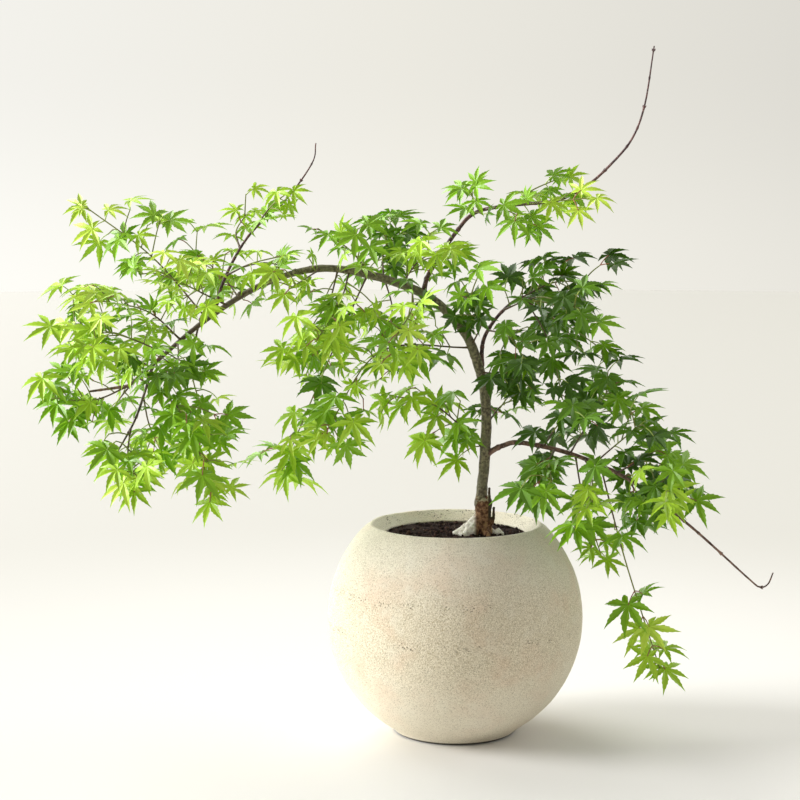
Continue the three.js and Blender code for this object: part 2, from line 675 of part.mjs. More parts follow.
function massSolid(shoot, obstacles) {
  const pieces = shoot.twigs.map((twig) => rod(twig.route, ...twig.radii, 3));
  pieces.push(...growLeaves(shoot).map(leafSolid));
  let body = wasm.Manifold.union(pieces);
  for (const obstacle of obstacles) {
    body = body.subtract(obstacle);
  }
  return largestPiece(body);
}

const COLOURS = {
  pot: 0xddd5c4,
  soil: 0x3a2b20,
  trunk: 0x6f6250,
  limb: 0x6b5a48,
  whip: 0x5d4640,
  leaf: 0x7db83a,
};
function material(colour, roughness) {
  return new THREE.MeshStandardMaterial({ color: colour, roughness, metalness: 0 });
}

const tree = new THREE.Group();
tree.name = 'maple_bonsai';

function addNode(name, body, colour, roughness) {
  const mesh = new THREE.Mesh(geometryFrom(body), material(colour, roughness));
  mesh.name = name;
  tree.add(mesh);
}

addNode('pot', potSolid(), COLOURS.pot, 0.9);
addNode('soil', soilSolid(), COLOURS.soil, 1);

// Each limb is cut clear of those before it in the list.
const swollen = [];
for (const limb of LIMBS) {
  const [name] = limb;
  let body = name === 'trunk' ? trunkSolid(limb) : limbSolid(limb, 0);
  for (const other of swollen) {
    body = body.subtract(other);
  }
  const colour = name === 'trunk' || name.startsWith('arch') ? COLOURS.trunk : COLOURS.limb;
  addNode(name, largestPiece(body), name === 'left_whip' ? COLOURS.whip : colour, 0.85);
  swollen.push(limbSolid(limb, GAP));
}

for (const shoot of shoots) {
  addNode(`leaves_${shoot.mass[0]}`, massSolid(shoot, swollen), COLOURS.leaf, 0.6);
}

export default tree;
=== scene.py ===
"""A young Japanese maple kept as a bonsai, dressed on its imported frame.

The limbs get bark with relief, the pot and the soil get grain, and each mass of foliage grows on by the same
seeded rule as its solid: the same stems and leaves, with the leaves' real outline, and then finer spurs with
smaller leaves at the nodes between. Lengths are in millimetres until a mesh is made.
"""

import math

import bpy
import numpy as np
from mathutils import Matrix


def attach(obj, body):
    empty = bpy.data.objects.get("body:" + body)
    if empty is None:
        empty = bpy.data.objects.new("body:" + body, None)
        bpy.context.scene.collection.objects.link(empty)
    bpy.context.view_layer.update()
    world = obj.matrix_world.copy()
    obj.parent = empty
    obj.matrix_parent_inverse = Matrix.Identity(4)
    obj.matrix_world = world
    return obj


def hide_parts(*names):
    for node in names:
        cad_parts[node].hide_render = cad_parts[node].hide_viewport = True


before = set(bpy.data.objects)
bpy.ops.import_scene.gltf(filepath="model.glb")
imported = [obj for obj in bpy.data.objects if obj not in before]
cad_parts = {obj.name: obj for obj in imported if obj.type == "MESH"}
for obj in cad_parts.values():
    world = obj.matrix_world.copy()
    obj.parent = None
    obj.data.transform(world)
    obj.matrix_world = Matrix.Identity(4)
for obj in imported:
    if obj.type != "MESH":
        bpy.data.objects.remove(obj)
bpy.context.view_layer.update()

MM = 0.001

# The pot is a thick-walled ball with a flat foot and an open mouth, whose lip slopes in to the soil.
POT = {"radius": 130, "centre": 118, "foot": 60, "mouth": 82, "height": 213.5, "wall": 19, "floor": 19,
       "lip": 3.3, "sides": 320}
SOIL = {"level": 203, "sink": 0.8, "flat": 26, "sides": 260}
TRUNK_FOOT = (27, 0)

# Routes of the limbs. The trunk and the two lengths of its arch share one route.
ROUTES = {
    "arch": [
        (27, 0, 190), (26, 1, 232), (30, 4, 283), (31, 7, 330), (25, 7, 366), (12, 5, 401), (-8, 2, 426),
        (-34, 0, 446), (-84, -5, 464), (-137, -11, 471), (-193, -17, 455), (-249, -23, 420),
        (-298, -28, 379), (-325, -30, 355),
    ],
    "rising_bough": [
        (-33, 0, 446), (-26, 5, 467), (0, 15, 506), (20, 20, 526), (54, 24, 533), (101, 27, 538),
        (131, 28, 552), (156, 27, 574), (177, 24, 600), (189, 22, 634), (197, 18, 691),
    ],
    "low_bough": [
        (31, 4, 283), (47, 0, 292), (67, -6, 296), (119, -18, 285), (175, -28, 260), (232, -38, 217),
        (289, -45, 166), (301, -46, 157), (309, -46, 160), (314, -45, 171),
    ],
    "fork_bough": [(26, 7, 372), (28, 12, 397), (39, 18, 417), (56, 24, 434), (70, 28, 441)],
    "left_whip": [
        (-240, -22, 426), (-230, -14, 461), (-206, -2, 504), (-170, 8, 539), (-144, 13, 575),
        (-140, 14, 595),
    ],
    "tip_stub": [(-323, -30, 356), (-343, -28, 353), (-364, -27, 350)],
    "bare_twig": [(-300, -28, 377), (-310, -34, 344), (-317, -38, 324), (-327, -41, 305), (-345, -45, 275)],
}
TRUNK_END = 0.455
CREST_END = 0.68

# Limbs: name, route, the stretch of it, radius at the start and at the end, and the solid's number of steps.
LIMBS = [
    ("trunk", "arch", 0, TRUNK_END, 5.9, 4.5, 16),
    ("arch_crest", "arch", TRUNK_END, CREST_END, 4.4, 3.3, 10),
    ("arch_fall", "arch", CREST_END, 1, 3.2, 1.7, 12),
    ("rising_bough", "rising_bough", 0, 1, 2.4, 0.7, 20),
    ("low_bough", "low_bough", 0, 1, 2.7, 0.7, 24),
    ("fork_bough", "fork_bough", 0, 1, 2.3, 1.4, 7),
    ("left_whip", "left_whip", 0, 1, 1.8, 0.6, 12),
    ("tip_stub", "tip_stub", 0, 1, 1.6, 1.1, 3),
    ("bare_twig", "bare_twig", 0, 1, 1.5, 0.7, 6),
]

# Masses of foliage: name, limb's route, place along it, tip of the stem, how far its middle bows off the
# straight line in x and z, leaf pairs, side twigs, first pair's place, leaf length and the seed's number.
MASSES = [
    ("left_high", "arch", 0.832, (-372, 10, 533), (7, 5), 4, 2, 0.3, 29, 1),
    ("left_crown", "arch", 0.793, (-287, -70, 470), (2, -1), 3, 1, 0.3, 30, 2),
    ("left_crown_back", "arch", 0.770, (-270, 60, 481), (7, 0), 2, 1, 0.35, 31, 3),
    ("left_mid_a", "arch", 0.919, (-389, 5, 417), (8, 1), 3, 1, 0.3, 32, 4),
    ("left_mid_b", "arch", 0.886, (-346, -75, 443), (7, 9), 3, 1, 0.3, 30, 5),
    ("left_mid_c", "arch", 0.952, (-356, -100, 402), (4, 4), 2, 0, 0.35, 30, 6),
    ("left_inner", "arch", 0.893, (-279, -85, 361), (5, 5), 2, 0, 0.35, 30, 7),
    ("left_tip", "arch", 0.997, (-398, -45, 345), (3, -8), 3, 0, 0.45, 30, 8),
    ("left_low_a", "arch", 0.989, (-357, 45, 315), (-2, 0), 2, 0, 0.5, 29, 9),
    ("left_low_b", "bare_twig", 0.598, (-308, -90, 271), (-6, -3), 3, 0, 0.3, 30, 10),
    ("left_low_c", "arch", 0.977, (-236, -80, 254), (6, 22), 4, 1, 0.35, 31, 11),
    ("left_low_d", "arch", 0.850, (-243, -5, 299), (-14, 9), 3, 1, 0.4, 30, 12),
    ("left_low_e", "bare_twig", 0.293, (-295, 40, 266), (-6, 5), 3, 0, 0.4, 31, 13),
    ("whip_a", "left_whip", 0.469, (-162, -25, 549), (-2, 3), 2, 0, 0.25, 25, 14),
    ("whip_b", "left_whip", 0.349, (-212, 35, 524), (-7, 0), 2, 0, 0.4, 23, 15),
    ("whip_c", "left_whip", 0.199, (-168, -35, 485), (-4, 2), 3, 1, 0.3, 30, 16),
    ("crest_left", "arch", 0.627, (-162, -60, 454), (0, 0), 2, 0, 0.3, 29, 17),
    ("crest_a", "arch", 0.545, (-137, -25, 511), (5, 2), 3, 1, 0.3, 30, 18),
    ("crest_b", "arch", 0.493, (-9, -45, 494), (-5, 5), 3, 1, 0.3, 30, 19),
    ("crest_c", "arch", 0.524, (-54, 60, 506), (-9, 3), 3, 1, 0.35, 29, 20),
    ("rise_a", "rising_bough", 0.252, (13, -15, 549), (3, 0), 2, 0, 0.3, 25, 21),
    ("rise_b", "rising_bough", 0.291, (133, -20, 541), (-6, 0), 4, 1, 0.15, 27, 22),
    ("rise_c", "rising_bough", 0.368, (108, 55, 561), (-5, 1), 2, 0, 0.3, 26, 23),
    ("trunk_front", "arch", 0.335, (10, -45, 444), (12, 2), 3, 0, 0.45, 28, 24),
    ("fork_top", "fork_bough", 0.865, (142, 60, 452), (2, 11), 3, 1, 0.25, 29, 25),
    ("fork_front", "fork_bough", 0.721, (118, -56, 434), (-1, 12), 2, 1, 0.3, 29, 26),
    ("fork_mid", "fork_bough", 0.955, (156, 45, 383), (-2, 4), 3, 0, 0.3, 32, 27),
    ("fork_hang", "fork_bough", 1.000, (105, -30, 342), (7, 3), 3, 0, 0.3, 30, 28),
    ("fork_low", "fork_bough", 0.421, (65, -60, 386), (2, 8), 2, 0, 0.3, 28, 29),
    ("trunk_right", "arch", 0.289, (72, -35, 356), (-3, 4), 2, 0, 0.3, 28, 30),
    ("trunk_right_low", "arch", 0.200, (75, 55, 335), (-4, 7), 2, 0, 0.3, 28, 31),
    ("low_up_a", "low_bough", 0.182, (113, -65, 340), (-4, -3), 3, 0, 0.3, 32, 32),
    ("low_up_b", "low_bough", 0.262, (161, 35, 351), (-4, -6), 3, 1, 0.2, 33, 33),
    ("low_up_c", "low_bough", 0.339, (182, -45, 320), (-3, -2), 3, 0, 0.22, 33, 34),
    ("low_mid", "low_bough", 0.407, (223, 30, 267), (-1, 8), 3, 0, 0.25, 32, 35),
    ("low_end", "low_bough", 0.500, (209, -80, 254), (-1, 7), 2, 0, 0.35, 29, 36),
    ("low_front_a", "low_bough", 0.215, (90, -90, 269), (-4, 4), 2, 0, 0.35, 32, 37),
    ("low_front_b", "low_bough", 0.306, (129, -95, 250), (3, 6), 2, 0, 0.35, 34, 38),
    ("low_back", "low_bough", 0.446, (193, 45, 206), (5, 2), 2, 0, 0.3, 30, 39),
    ("low_hang_a", "low_bough", 0.278, (148, -5, 180), (-5, 6), 3, 0, 0.35, 30, 40),
    ("low_hang_b", "low_bough", 0.356, (201, -60, 78), (-5, 7), 3, 0, 0.62, 33, 41),
    ("under_a", "arch", 0.581, (-137, -70, 403), (7, 4), 3, 1, 0.18, 30, 42),
    ("under_b", "arch", 0.551, (-176, 15, 265), (2, 8), 4, 1, 0.3, 33, 43),
    ("under_c", "arch", 0.332, (-131, -45, 308), (-19, 39), 4, 1, 0.3, 33, 44),
    ("under_d", "arch", 0.159, (-66, -20, 345), (-3, 18), 3, 0, 0.2, 32, 45),
    ("under_e", "arch", 0.475, (-60, -80, 409), (8, 3), 3, 0, 0.25, 31, 46),
    ("under_f", "arch", 0.522, (-77, 60, 386), (10, 2), 2, 1, 0.3, 32, 47),
    ("under_g", "arch", 0.600, (-153, 55, 358), (4, 6), 2, 1, 0.3, 30, 48),
]

# The rule that every shoot follows, as in the source.
RULE = {
    "twig_radius": 1.25, "tip_radius": 0.85, "side_radius": 0.95, "step_length": 34, "last": 0.94,
    "tip_place": 0.95, "side_place": 0.88, "petiole": 0.5, "stalk_width": 0.36, "leaf_thickness": 1.1,
    "tries": 9, "leaf_spacing": 0.62, "cell_margin": 0.7, "limb_clearance": 1.1, "pot_clearance": 3,
    "near": 2.6, "pins": (0.35, 0.7),
}
# Half of the outline that a leaf's solid has: angle off its axis, and length as a share of the leaf's.
LEAF_HALF = [(0, 1), (21, 0.5), (43, 0.96), (67, 0.44), (94, 0.8)]

# The finer growth. Its leaves and spurs are shares of the source's leaf length, and its leaves may pass the
# border of their mass a little. It starts at the place "inner" along the stem.
FINER = {
    "leaf": 0.9, "spur": 0.7, "on_stem": 0.45, "inner": 0.05,
    "tries": 9, "leaf_spacing": 0.36, "cell_margin": -9,
}
# How much of the finer growth a mass has, where the crown is open.
THINNED = {
    "left_high": 0.08, "left_mid": 0.75, "left_tip": 0.25, "left_low": 0.28, "whip": 0.15, "crest": 0.4,
    "rise": 0.06, "trunk": 0.25, "fork": 0.5, "fork_hang": 0.12, "under": 0.5, "low": 0.45, "low_up": 0.4,
    "low_hang_a": 0.25, "low_hang_b": 0.02,
}

# Tones of the leaves from lime to dark, each mass's tone at its foot and at its tip, and how far apart the
# tones of a mass's sprays are. The tones are partly the leaves' own colour and partly painted light: the
# lime stands in for light shining through the leaves, the masses on the left are made lighter as painted
# light and those on the right darker as painted shade.
TONES = ["#C4E34A", "#ABD32E", "#85B71A", "#5E8C0A", "#416804"]
MASS_TONES_AND_PAINTED_LIGHT = {
    "left_high": (2.4, 0.4), "left_crown": (1.0, 0.2), "left_crown_back": (1.8, 0.9), "left_mid": (1.9, 0.5),
    "left_inner": (2.6, 1.8), "left_tip": (2.0, 0.9), "left_low": (1.8, 0.4), "whip": (1.8, 1.2),
    "crest_left": (1.4, 0.8), "crest_a": (1.9, 1.0), "crest_b": (2.0, 0.7), "crest_c": (2.2, 1.6),
    "rise": (1.6, 0.7), "trunk_front": (3.4, 2.8), "trunk_right": (3.6, 3.2), "fork": (3.8, 3.0),
    "low_up": (3.8, 3.0), "low_mid": (3.2, 2.2), "low_end": (3.0, 1.8), "low_front": (3.1, 1.9),
    "low_back": (3.2, 2.4), "low_hang": (1.5, 0.7), "under": (1.8, 0.5),
}
TONE_RANGE = 2.2

# The piece of foliage that a mass is in, by the beginning of its name.
REGIONS = {
    "left": "left", "whip": "left", "crest": "crest", "rise": "crest", "trunk": "right", "fork": "right",
    "low": "low", "under": "under",
}

# The real outline of a leaf: lobes from one side to the other as angle and length, a lobe's edge with its
# teeth as shares of its length and of its half-width, the points along its rib, and how far out the lobes
# part. The two lobes by the stalk are small and have no teeth.
LOBES = [(-133, 0.42), (-90, 0.8), (-43, 0.97), (0, 1.0), (43, 0.97), (90, 0.8), (133, 0.42)]
EDGE = [
    (0.32, 0.72), (0.46, 1.0), (0.5, 0.78), (0.61, 0.82), (0.65, 0.57), (0.75, 0.52), (0.79, 0.3),
    (0.88, 0.18),
]
RIB = [0.27, 0.48, 0.63, 0.8]
SMALL_EDGE = [(0.45, 1.0), (0.75, 0.55)]
SMALL_RIB = [0.5]
NOTCH = 0.23

# Twigs are slimmer than in the solids, where they have to be stout enough to join. Then the radii of a spur
# and of a leaf's stalk at both ends, the share of stalks that are green, and half a lobe's width as a share
# of the leaf's length: in the lightest leaves, more in each darker tone, and more at random.
TWIG_SLIMNESS = 0.72
SPUR_RADII = (0.75, 0.55)
STALK_RADII = (0.62, 0.45)
GREEN_STALKS = 0.72
LOBE_WIDTH = (0.115, 0.012, 0.02)

# Radii of the trunk and arch at its foot, at the ends of the trunk and of the crest, and at its tip.
ARCH_RADII = [5.9, 4.45, 3.25, 1.7]
# The trunk's foot: how high the stock goes, how far it stands to the side and how much stouter it is, its
# roots as direction, reach, rise and thickness, the snags as foot, knee, tip and radius, and the lumps of
# graft and pale roots as centre and radius. All melt into one skin, remeshed with cells of that size.
STOCK = {"top": 242, "shift": 2.6, "extra": 2}
ROOTS = [(190, 28, 17, 8.0), (214, 24, 15, 7.6), (290, 17, 12, 5.4), (20, 15, 9, 5.0), (105, 17, 12, 5.4)]
SNAGS = [
    [(30, 0, 226), (33.6, -4, 233), (34.2, -4.5, 250), 1.9],
    [(32, 1, 212), (37.6, -3, 214), (38.7, -3.5, 230), 1.9],
]
LUMPS = [
    (23.5, -2, 239, 3.2), (33, -3, 239, 3.2), (28.5, -3.6, 237, 3), (25, 4, 238, 3), (34, -3.6, 235, 2.7),
    (14, -4, 209, 6), (7, -7, 204, 5), (18, -8, 206, 6), (21, -4, 214, 5.5), (43, -8, 205, 4),
    (46, -7, 203.5, 3.4),
]
SKIN = {"voxel": 0.7, "smoothing": 2}
# Knots on the arch.
KNOTS = [(-252, -23, 421), (-214, -19, 446), (-160, -15, 468), (33, 10, 352)]
# Bark of the boughs: name, look, sides, seed, distance between old leaf nodes, how much they swell, how much
# the bough spreads at its parent, and the length of its buds.
BOUGHS = [
    ("rising_bough", "whip", 14, 2, 27, 0.22, 0.7, 3.2),
    ("low_bough", "low", 14, 3, 25, 0.2, 1.2, 3.0),
    ("fork_bough", "whip", 14, 4, 26, 0.16, 0.8, 0),
    ("left_whip", "whip", 12, 5, 22, 0.24, 0.7, 2.8),
    ("tip_stub", "low", 12, 6, 17, 0.2, 0.4, 0),
    ("bare_twig", "dark", 12, 7, 21, 0.24, 0.5, 2.6),
]

# Heights of the belts of pits in the pot.
PIT_BELTS = [(147, 157), (109, 121)]
# Crumbs on the soil: tries at one, one in so many is big, radii, and shares of dark, brown and grey ones.
CRUMBS = {
    "tries": 2100, "big_one_in": 8, "big": (1.3, 2.4), "small": (0.5, 1.1), "shares": (0.7, 0.27, 0.03),
}

# The stage: a wide pale floor, three soft suns as name, place, strength, softness in degrees and tint, and
# the camera at the photo's angle, its place in metres.
FLOOR = {"inner": 4000, "radius": 9000, "thickness": 40.0, "gap": 0.05}
SUNS = [
    ("key", (-2.2, -0.06, 0.8), 3.95, 28, (0.98, 0.99, 1.0)),
    ("window", (-1.2, 1.6, 1.9), 1.7, 45, (1.0, 1.0, 0.98)),
    ("doorway", (1.9, 0.7, 0.9), 0.7, 40, (0.95, 0.98, 1.0)),
]
CAMERA = {"place": (-0.056, -1.9, 0.545), "tilt": 83.8, "lens": 85.5, "sensor": 36}

UP = np.array([0.0, 0.0, 1.0])
WORD = 0xFFFFFFFF


def by_prefix(table, name, otherwise=None):
    """The table's entry whose key is the longest beginning of the name."""
    keys = [key for key in table if name.startswith(key)]
    return table[max(keys, key=len)] if keys else otherwise


def unit(vector):
    return vector / math.sqrt(vector @ vector)


def mix(a, b, share):
    return a + (b - a) * share


def stream(seed):
    """A seeded stream of numbers from 0 to 1, the same as the source's. Primes keep the seeds apart."""
    state = seed & WORD

    def draw():
        nonlocal state
        state = (state + 0x6D2B79F5) & WORD
        t = ((state ^ (state >> 15)) * (state | 1)) & WORD
        t = ((t + (((t ^ (t >> 7)) * (t | 61)) & WORD)) & WORD) ^ t
        return ((t ^ (t >> 14)) & WORD) / (WORD + 1)

    return draw


def curve_point(guides, share):
    """A point of the even Catmull-Rom curve through the guides."""
    last = len(guides) - 1
    place = last * min(max(share, 0.0), 1.0)
    i = min(int(place), last - 1)
    w = place - i
    p1, p2 = guides[i], guides[i + 1]
    p0 = guides[i - 1] if i > 0 else 2 * guides[0] - guides[1]
    p3 = guides[i + 2] if i + 2 <= last else 2 * guides[last] - guides[last - 1]
    t1, t2 = 0.5 * (p2 - p0), 0.5 * (p3 - p1)
    square = 3 * (p2 - p1) - 2 * t1 - t2
    cube = 2 * (p1 - p2) + t1 + t2
    return p1 + t1 * w + square * w * w + cube * w**3


class Route:
    """A curve as a polyline of that many steps."""

    def __init__(self, guides, steps):
        self.guides = np.array(guides, float)
        self.fine = np.array([curve_point(self.guides, k / steps) for k in range(steps + 1)])
        stretches = np.linalg.norm(np.diff(self.fine, axis=0), axis=1)
        self.lengths = np.concatenate([[0], np.cumsum(stretches)])
        self.total = self.lengths[-1]

    def at(self, share):
        """The point at a share of the whole length."""
        wanted = share * self.total
        i = int(np.searchsorted(self.lengths, wanted, side="right")) - 1
        i = min(max(i, 0), len(self.fine) - 2)
        part = (wanted - self.lengths[i]) / (self.lengths[i + 1] - self.lengths[i])
        return mix(self.fine[i], self.fine[i + 1], part)

    def heading(self, share):
        return unit(self.at(min(share + 0.01, 1)) - self.at(max(share - 0.01, 0)))


ROUTE = {name: Route(guides, 160) for name, guides in ROUTES.items()}


def to_segments(points, starts, ends):
    """Each point's distance to each segment, and the share of the segment where that is."""
    span = ends - starts
    off = points[:, None, :] - starts
    share = np.clip((off * span).sum(2) / (span * span).sum(1), 0, 1)
    return np.linalg.norm(off - share[..., None] * span, axis=2), share


LIMB_PATHS = []
for _, route_name, start, end, first_radius, last_radius, steps in LIMBS:
    path = np.array([ROUTE[route_name].at(share) for share in np.linspace(start, end, 2 * steps + 1)])
    LIMB_PATHS.append((path, first_radius, last_radius))


def clear_of_wood(points, clearance):
    """True where every point stays off the limbs and the pot."""
    for path, first_radius, last_radius in LIMB_PATHS:
        distance, share = to_segments(points, path[:-1], path[1:])
        i = distance.argmin(1)
        rows = np.arange(len(points))
        along = (i + share[rows, i]) / (len(path) - 1)
        if (distance[rows, i] < mix(first_radius, last_radius, along) + clearance).any():
            return False
    low = points[:, 2] < POT["height"] + RULE["pot_clearance"]
    away = np.linalg.norm(points - (0, 0, POT["centre"]), axis=1)
    return not (low & (away < POT["radius"] + RULE["pot_clearance"])).any()


def crossways(along, angle):
    """A direction square to a twig, turned by an angle."""
    flat = UP if abs(along[2]) < 0.9 else np.array([0.0, 1.0, 0.0])
    side = unit(np.cross(along, flat))
    return side * math.cos(angle) + np.cross(side, along) * math.sin(angle)


def pair_ways(route, share, turn, lean):
    """The ways out of a pair of leaves near a twig's tip, to both sides of its heading."""
    along = route.heading(share)
    across = crossways(along, turn) * lean
    return unit(along + across), unit(along - across)


def stem_route(mass):
    """A mass's stem, from the limb's axis to its tip."""
    _, route_name, place, tip, bow = mass[:5]
    start = ROUTE[route_name].at(place)
    end = np.array(tip, float)
    middle = (start + end) / 2 + (bow[0], 0, bow[1])
    extra = 3 if math.hypot(*bow) > 15 else 0
    steps = math.floor(np.linalg.norm(end - start) / RULE["step_length"] + 0.5) + extra
    return Route([start, middle, end], max(3, steps))


def grow_twigs(mass):
    """The stem of a mass, its side twigs, and the feet of its leaves."""
    pairs, side_twigs, first, size, seed = mass[5:]
    stem = stem_route(mass)
    draw = stream(seed * 7919)
    phase = draw() * 1.2 - 0.6
    twigs = [{"route": stem, "radii": (RULE["twig_radius"], RULE["tip_radius"]), "side": False}]
    feet = []
    for node in range(pairs):
        share = mix(first, RULE["last"], node / (pairs - 0.5)) + (draw() - 0.5) * 0.03
        turn = phase + (node % 2) * 1.25 + (draw() - 0.5) * 0.5
        at, along = stem.at(share), stem.heading(share)
        for sign in (1, -1):
            outward = unit(along * 0.6 + crossways(along, turn) * sign)
            foot = {"at": at, "outward": outward, "young": node / pairs, "size": size}
            if node >= side_twigs or sign != (1 if node % 2 else -1):
                feet.append(foot)
                continue
            reach = size * 1.5
            side = Route([at, at + outward * reach * 0.55, at + outward * reach - UP * size * 0.2], 2)
            if not clear_of_wood(side.fine[1:], 2):
                continue
            twigs.append({"route": side, "radii": (RULE["side_radius"], RULE["tip_radius"]), "side": True})
            tip = {**foot, "at": side.at(RULE["side_place"]), "size": size * 0.94}
            feet += [{**tip, "outward": way} for way in pair_ways(side, RULE["side_place"], turn + 1.2, 0.8)]
    tip = {"at": stem.at(RULE["tip_place"]), "young": 1, "size": size}
    feet += [{**tip, "outward": way} for way in pair_ways(stem, 0.98, phase, 0.55)]
    return {"mass": mass, "stem": stem, "phase": phase, "twigs": twigs, "feet": feet, "leaves": []}


SHOOTS = [grow_twigs(mass) for mass in MASSES]
SEGMENT_STARTS = np.concatenate([t["route"].fine[:-1] for s in SHOOTS for t in s["twigs"]])
SEGMENT_ENDS = np.concatenate([t["route"].fine[1:] for s in SHOOTS for t in s["twigs"]])
SEGMENT_OWNERS = np.concatenate(
    [[i] * (len(t["route"].fine) - 1) for i, s in enumerate(SHOOTS) for t in s["twigs"]]
)


def in_own_space(owner, points, margin):
    """True where every point is nearer to its own mass's twigs than to any other's, by the margin."""
    distance, _ = to_segments(points, SEGMENT_STARTS, SEGMENT_ENDS)
    mine = SEGMENT_OWNERS == owner
    return bool((distance[:, ~mine].min(1) > distance[:, mine].min(1) + margin).all())


def leaf_from(foot, size, draw, attempt, lying=0.0):
    """One leaf's pose, and the outline that its solid has. A lying leaf faces up more than out."""

    def loose(width):
        return np.array([2 * draw() - 1, 2 * draw() - 1, 2 * draw() - 1]) * width

    outer = 0.75 if foot["at"][1] + foot["outward"][1] * 25 > 24 else -1
    face = np.array([-0.12, outer * (0.45 + 0.6 * draw()) * (1 - lying), 0.75 + 0.25 * lying])
    face = unit(face + loose(0.35 + 0.08 * attempt))
    axis = foot["outward"] * 0.8 - UP * 0.55 + loose(0.3 + 0.05 * attempt)
    axis = unit(axis - face * (axis @ face))
    stalk = unit(foot["outward"] * 0.9 - UP * 0.15 + axis * 0.25)
    joint = foot["at"] + stalk * RULE["petiole"] * size * (0.8 + 0.4 * draw())
    across = np.cross(face, axis)
    droop = 0.1 + 0.16 * draw()
    corner = joint - axis * RULE["stalk_width"]
    outline = [corner - across * RULE["stalk_width"]]
    for angle, length in [(-angle, length) for angle, length in LEAF_HALF[:0:-1]] + LEAF_HALF:
        radians = math.radians(angle)
        point = joint + (axis * math.cos(radians) + across * math.sin(radians)) * length * size
        outline.append(point - face * droop * length * length * size)
    outline.append(corner + across * RULE["stalk_width"])
    return {"foot": foot, "size": size, "joint": joint, "axis": axis, "face": face, "across": across,
            "droop": droop, "outline": np.array(outline)}


def pierced(lines, corner, edge_a, edge_b):
    """True where any line goes through any triangle, each given by a corner and the ends of its far edge."""
    start, way = lines[:, None, 0], (lines[:, 1] - lines[:, 0])[:, None]
    u, v = (edge_a - corner)[None], (edge_b - corner)[None]
    p = np.cross(way, v)
    scale = (u * p).sum(2)
    with np.errstate(divide="ignore", invalid="ignore"):
        s = start - corner
        first = (s * p).sum(2) / scale
        q = np.cross(np.broadcast_to(s, p.shape), np.broadcast_to(u, p.shape))
        second = (way * q).sum(2) / scale
        along = (v * q).sum(2) / scale
    hit = (np.abs(scale) >= 1e-9) & (first >= 0) & (second >= 0) & (first + second <= 1)
    return bool((hit & (along >= 0) & (along <= 1)).any())


def feelers(leaf):
    """The lines that a leaf is tested by: edge, ribs, stalk, and short pins through its blade."""
    outline, joint = leaf["outline"], leaf["joint"]
    pin = leaf["face"] * RULE["leaf_thickness"]
    lines = [(joint, leaf["foot"]["at"])]
    lines += [(joint, tip) for tip in outline]
    lines += list(zip(outline[:-1], outline[1:]))
    for share in RULE["pins"]:
        lines += [(mix(joint, tip, share) - pin, mix(joint, tip, share) + pin) for tip in outline]
    return np.array(lines)


LEAVES = []


def fits(owner, leaf, placed, rule):
    """True for a leaf that crosses nothing and keeps to its mass's space, as strictly as the rule says."""
    joint, outline = leaf["joint"], leaf["outline"]
    if any(np.linalg.norm(other["joint"] - joint) < rule["leaf_spacing"] * leaf["size"] for other in placed):
        return False
    samples = np.vstack([joint, mix(joint, leaf["foot"]["at"], 0.5), outline, (outline + joint) / 2])
    if not in_own_space(owner, samples, rule["cell_margin"]):
        return False
    if not clear_of_wood(samples, RULE["limb_clearance"]):
        return False
    leaf["fan"] = np.stack([np.tile(joint, (len(outline) - 1, 1)), outline[:-1], outline[1:]])
    leaf["feelers"] = feelers(leaf)
    tested = (SEGMENT_OWNERS == owner) | (rule is FINER)
    lines = [np.stack([SEGMENT_STARTS[tested], SEGMENT_ENDS[tested]], 1)]
    reach = leaf["size"] * RULE["near"]
    near = [other for other in LEAVES if np.linalg.norm(other["joint"] - joint) < reach]
    lines += [other["feelers"] for other in near]
    if pierced(np.concatenate(lines), *leaf["fan"]):
        return False
    fans = [other["fan"] for other in near]
    return not near or not pierced(leaf["feelers"], *np.concatenate(fans, axis=1))


def grow_leaves(owner, shoot, feet, rule, seed):
    """Leaves at those feet, each at the first try that fits. Gives back the feet that got one."""
    seed += shoot["mass"][9] * 100003
    taken = []
    for number, foot in enumerate(feet):
        for attempt in range(rule["tries"]):
            draw = stream(seed + foot.get("number", number) * 101 + attempt)
            if rule is FINER:
                leaf = leaf_from(foot, foot["size"] * (1 - 0.04 * attempt), draw, attempt, 0.75 * draw())
            else:
                scale = (1 - 0.14 * foot["young"]) * (1 - 0.05 * attempt) * (0.94 + 0.12 * draw())
                leaf = leaf_from(foot, foot["size"] * scale, draw, attempt)
            if fits(owner, leaf, shoot["leaves"], rule):
                shoot["leaves"].append(leaf)
                LEAVES.append(leaf)
                taken.append(foot)
                break
    return taken


def finer_feet(shoot):
    """Feet at the nodes between: some on the stem itself, some on short spurs."""
    pairs, _, first, size, seed = shoot["mass"][5:]
    stem = shoot["stem"]
    draw = stream(seed * 7919 + 1)
    step = (RULE["last"] - first) / (pairs - 0.5) / 4
    shares = [first + step * node for node in range(1, 4 * pairs - 1) if node % 4]
    inner = first - step
    while inner > FINER["inner"]:
        shares.append(inner)
        inner -= step
    feet = []
    spurs = []
    for node, share in enumerate(shares):
        turn = shoot["phase"] + 0.7 + (node % 2) * 1.3 + (draw() - 0.5) * 0.7
        along = stem.heading(share)
        across = crossways(along, turn)
        for sign in (1, -1):
            outward = unit(along * (0.3 + 0.5 * draw()) + across * sign)
            leaf = size * FINER["leaf"] * (0.85 + 0.3 * draw())
            foot = {"at": stem.at(share), "outward": outward, "young": share, "size": leaf}
            if draw() < FINER["on_stem"]:
                feet.append(foot)
                continue
            end = foot["at"] + outward * size * FINER["spur"] * (0.8 + 0.5 * draw()) + UP * size * 0.1
            spur = Route([foot["at"], (foot["at"] + end) / 2 + UP * size * 0.06, end], 3)
            if not clear_of_wood(spur.fine[2:], 1.5):
                continue
            tip = {**foot, "at": spur.at(0.96), "spur": len(spurs)}
            feet += [{**tip, "outward": way} for way in pair_ways(spur, 0.95, turn + 1.1, 0.75)]
            spurs.append(spur)
    return feet, spurs


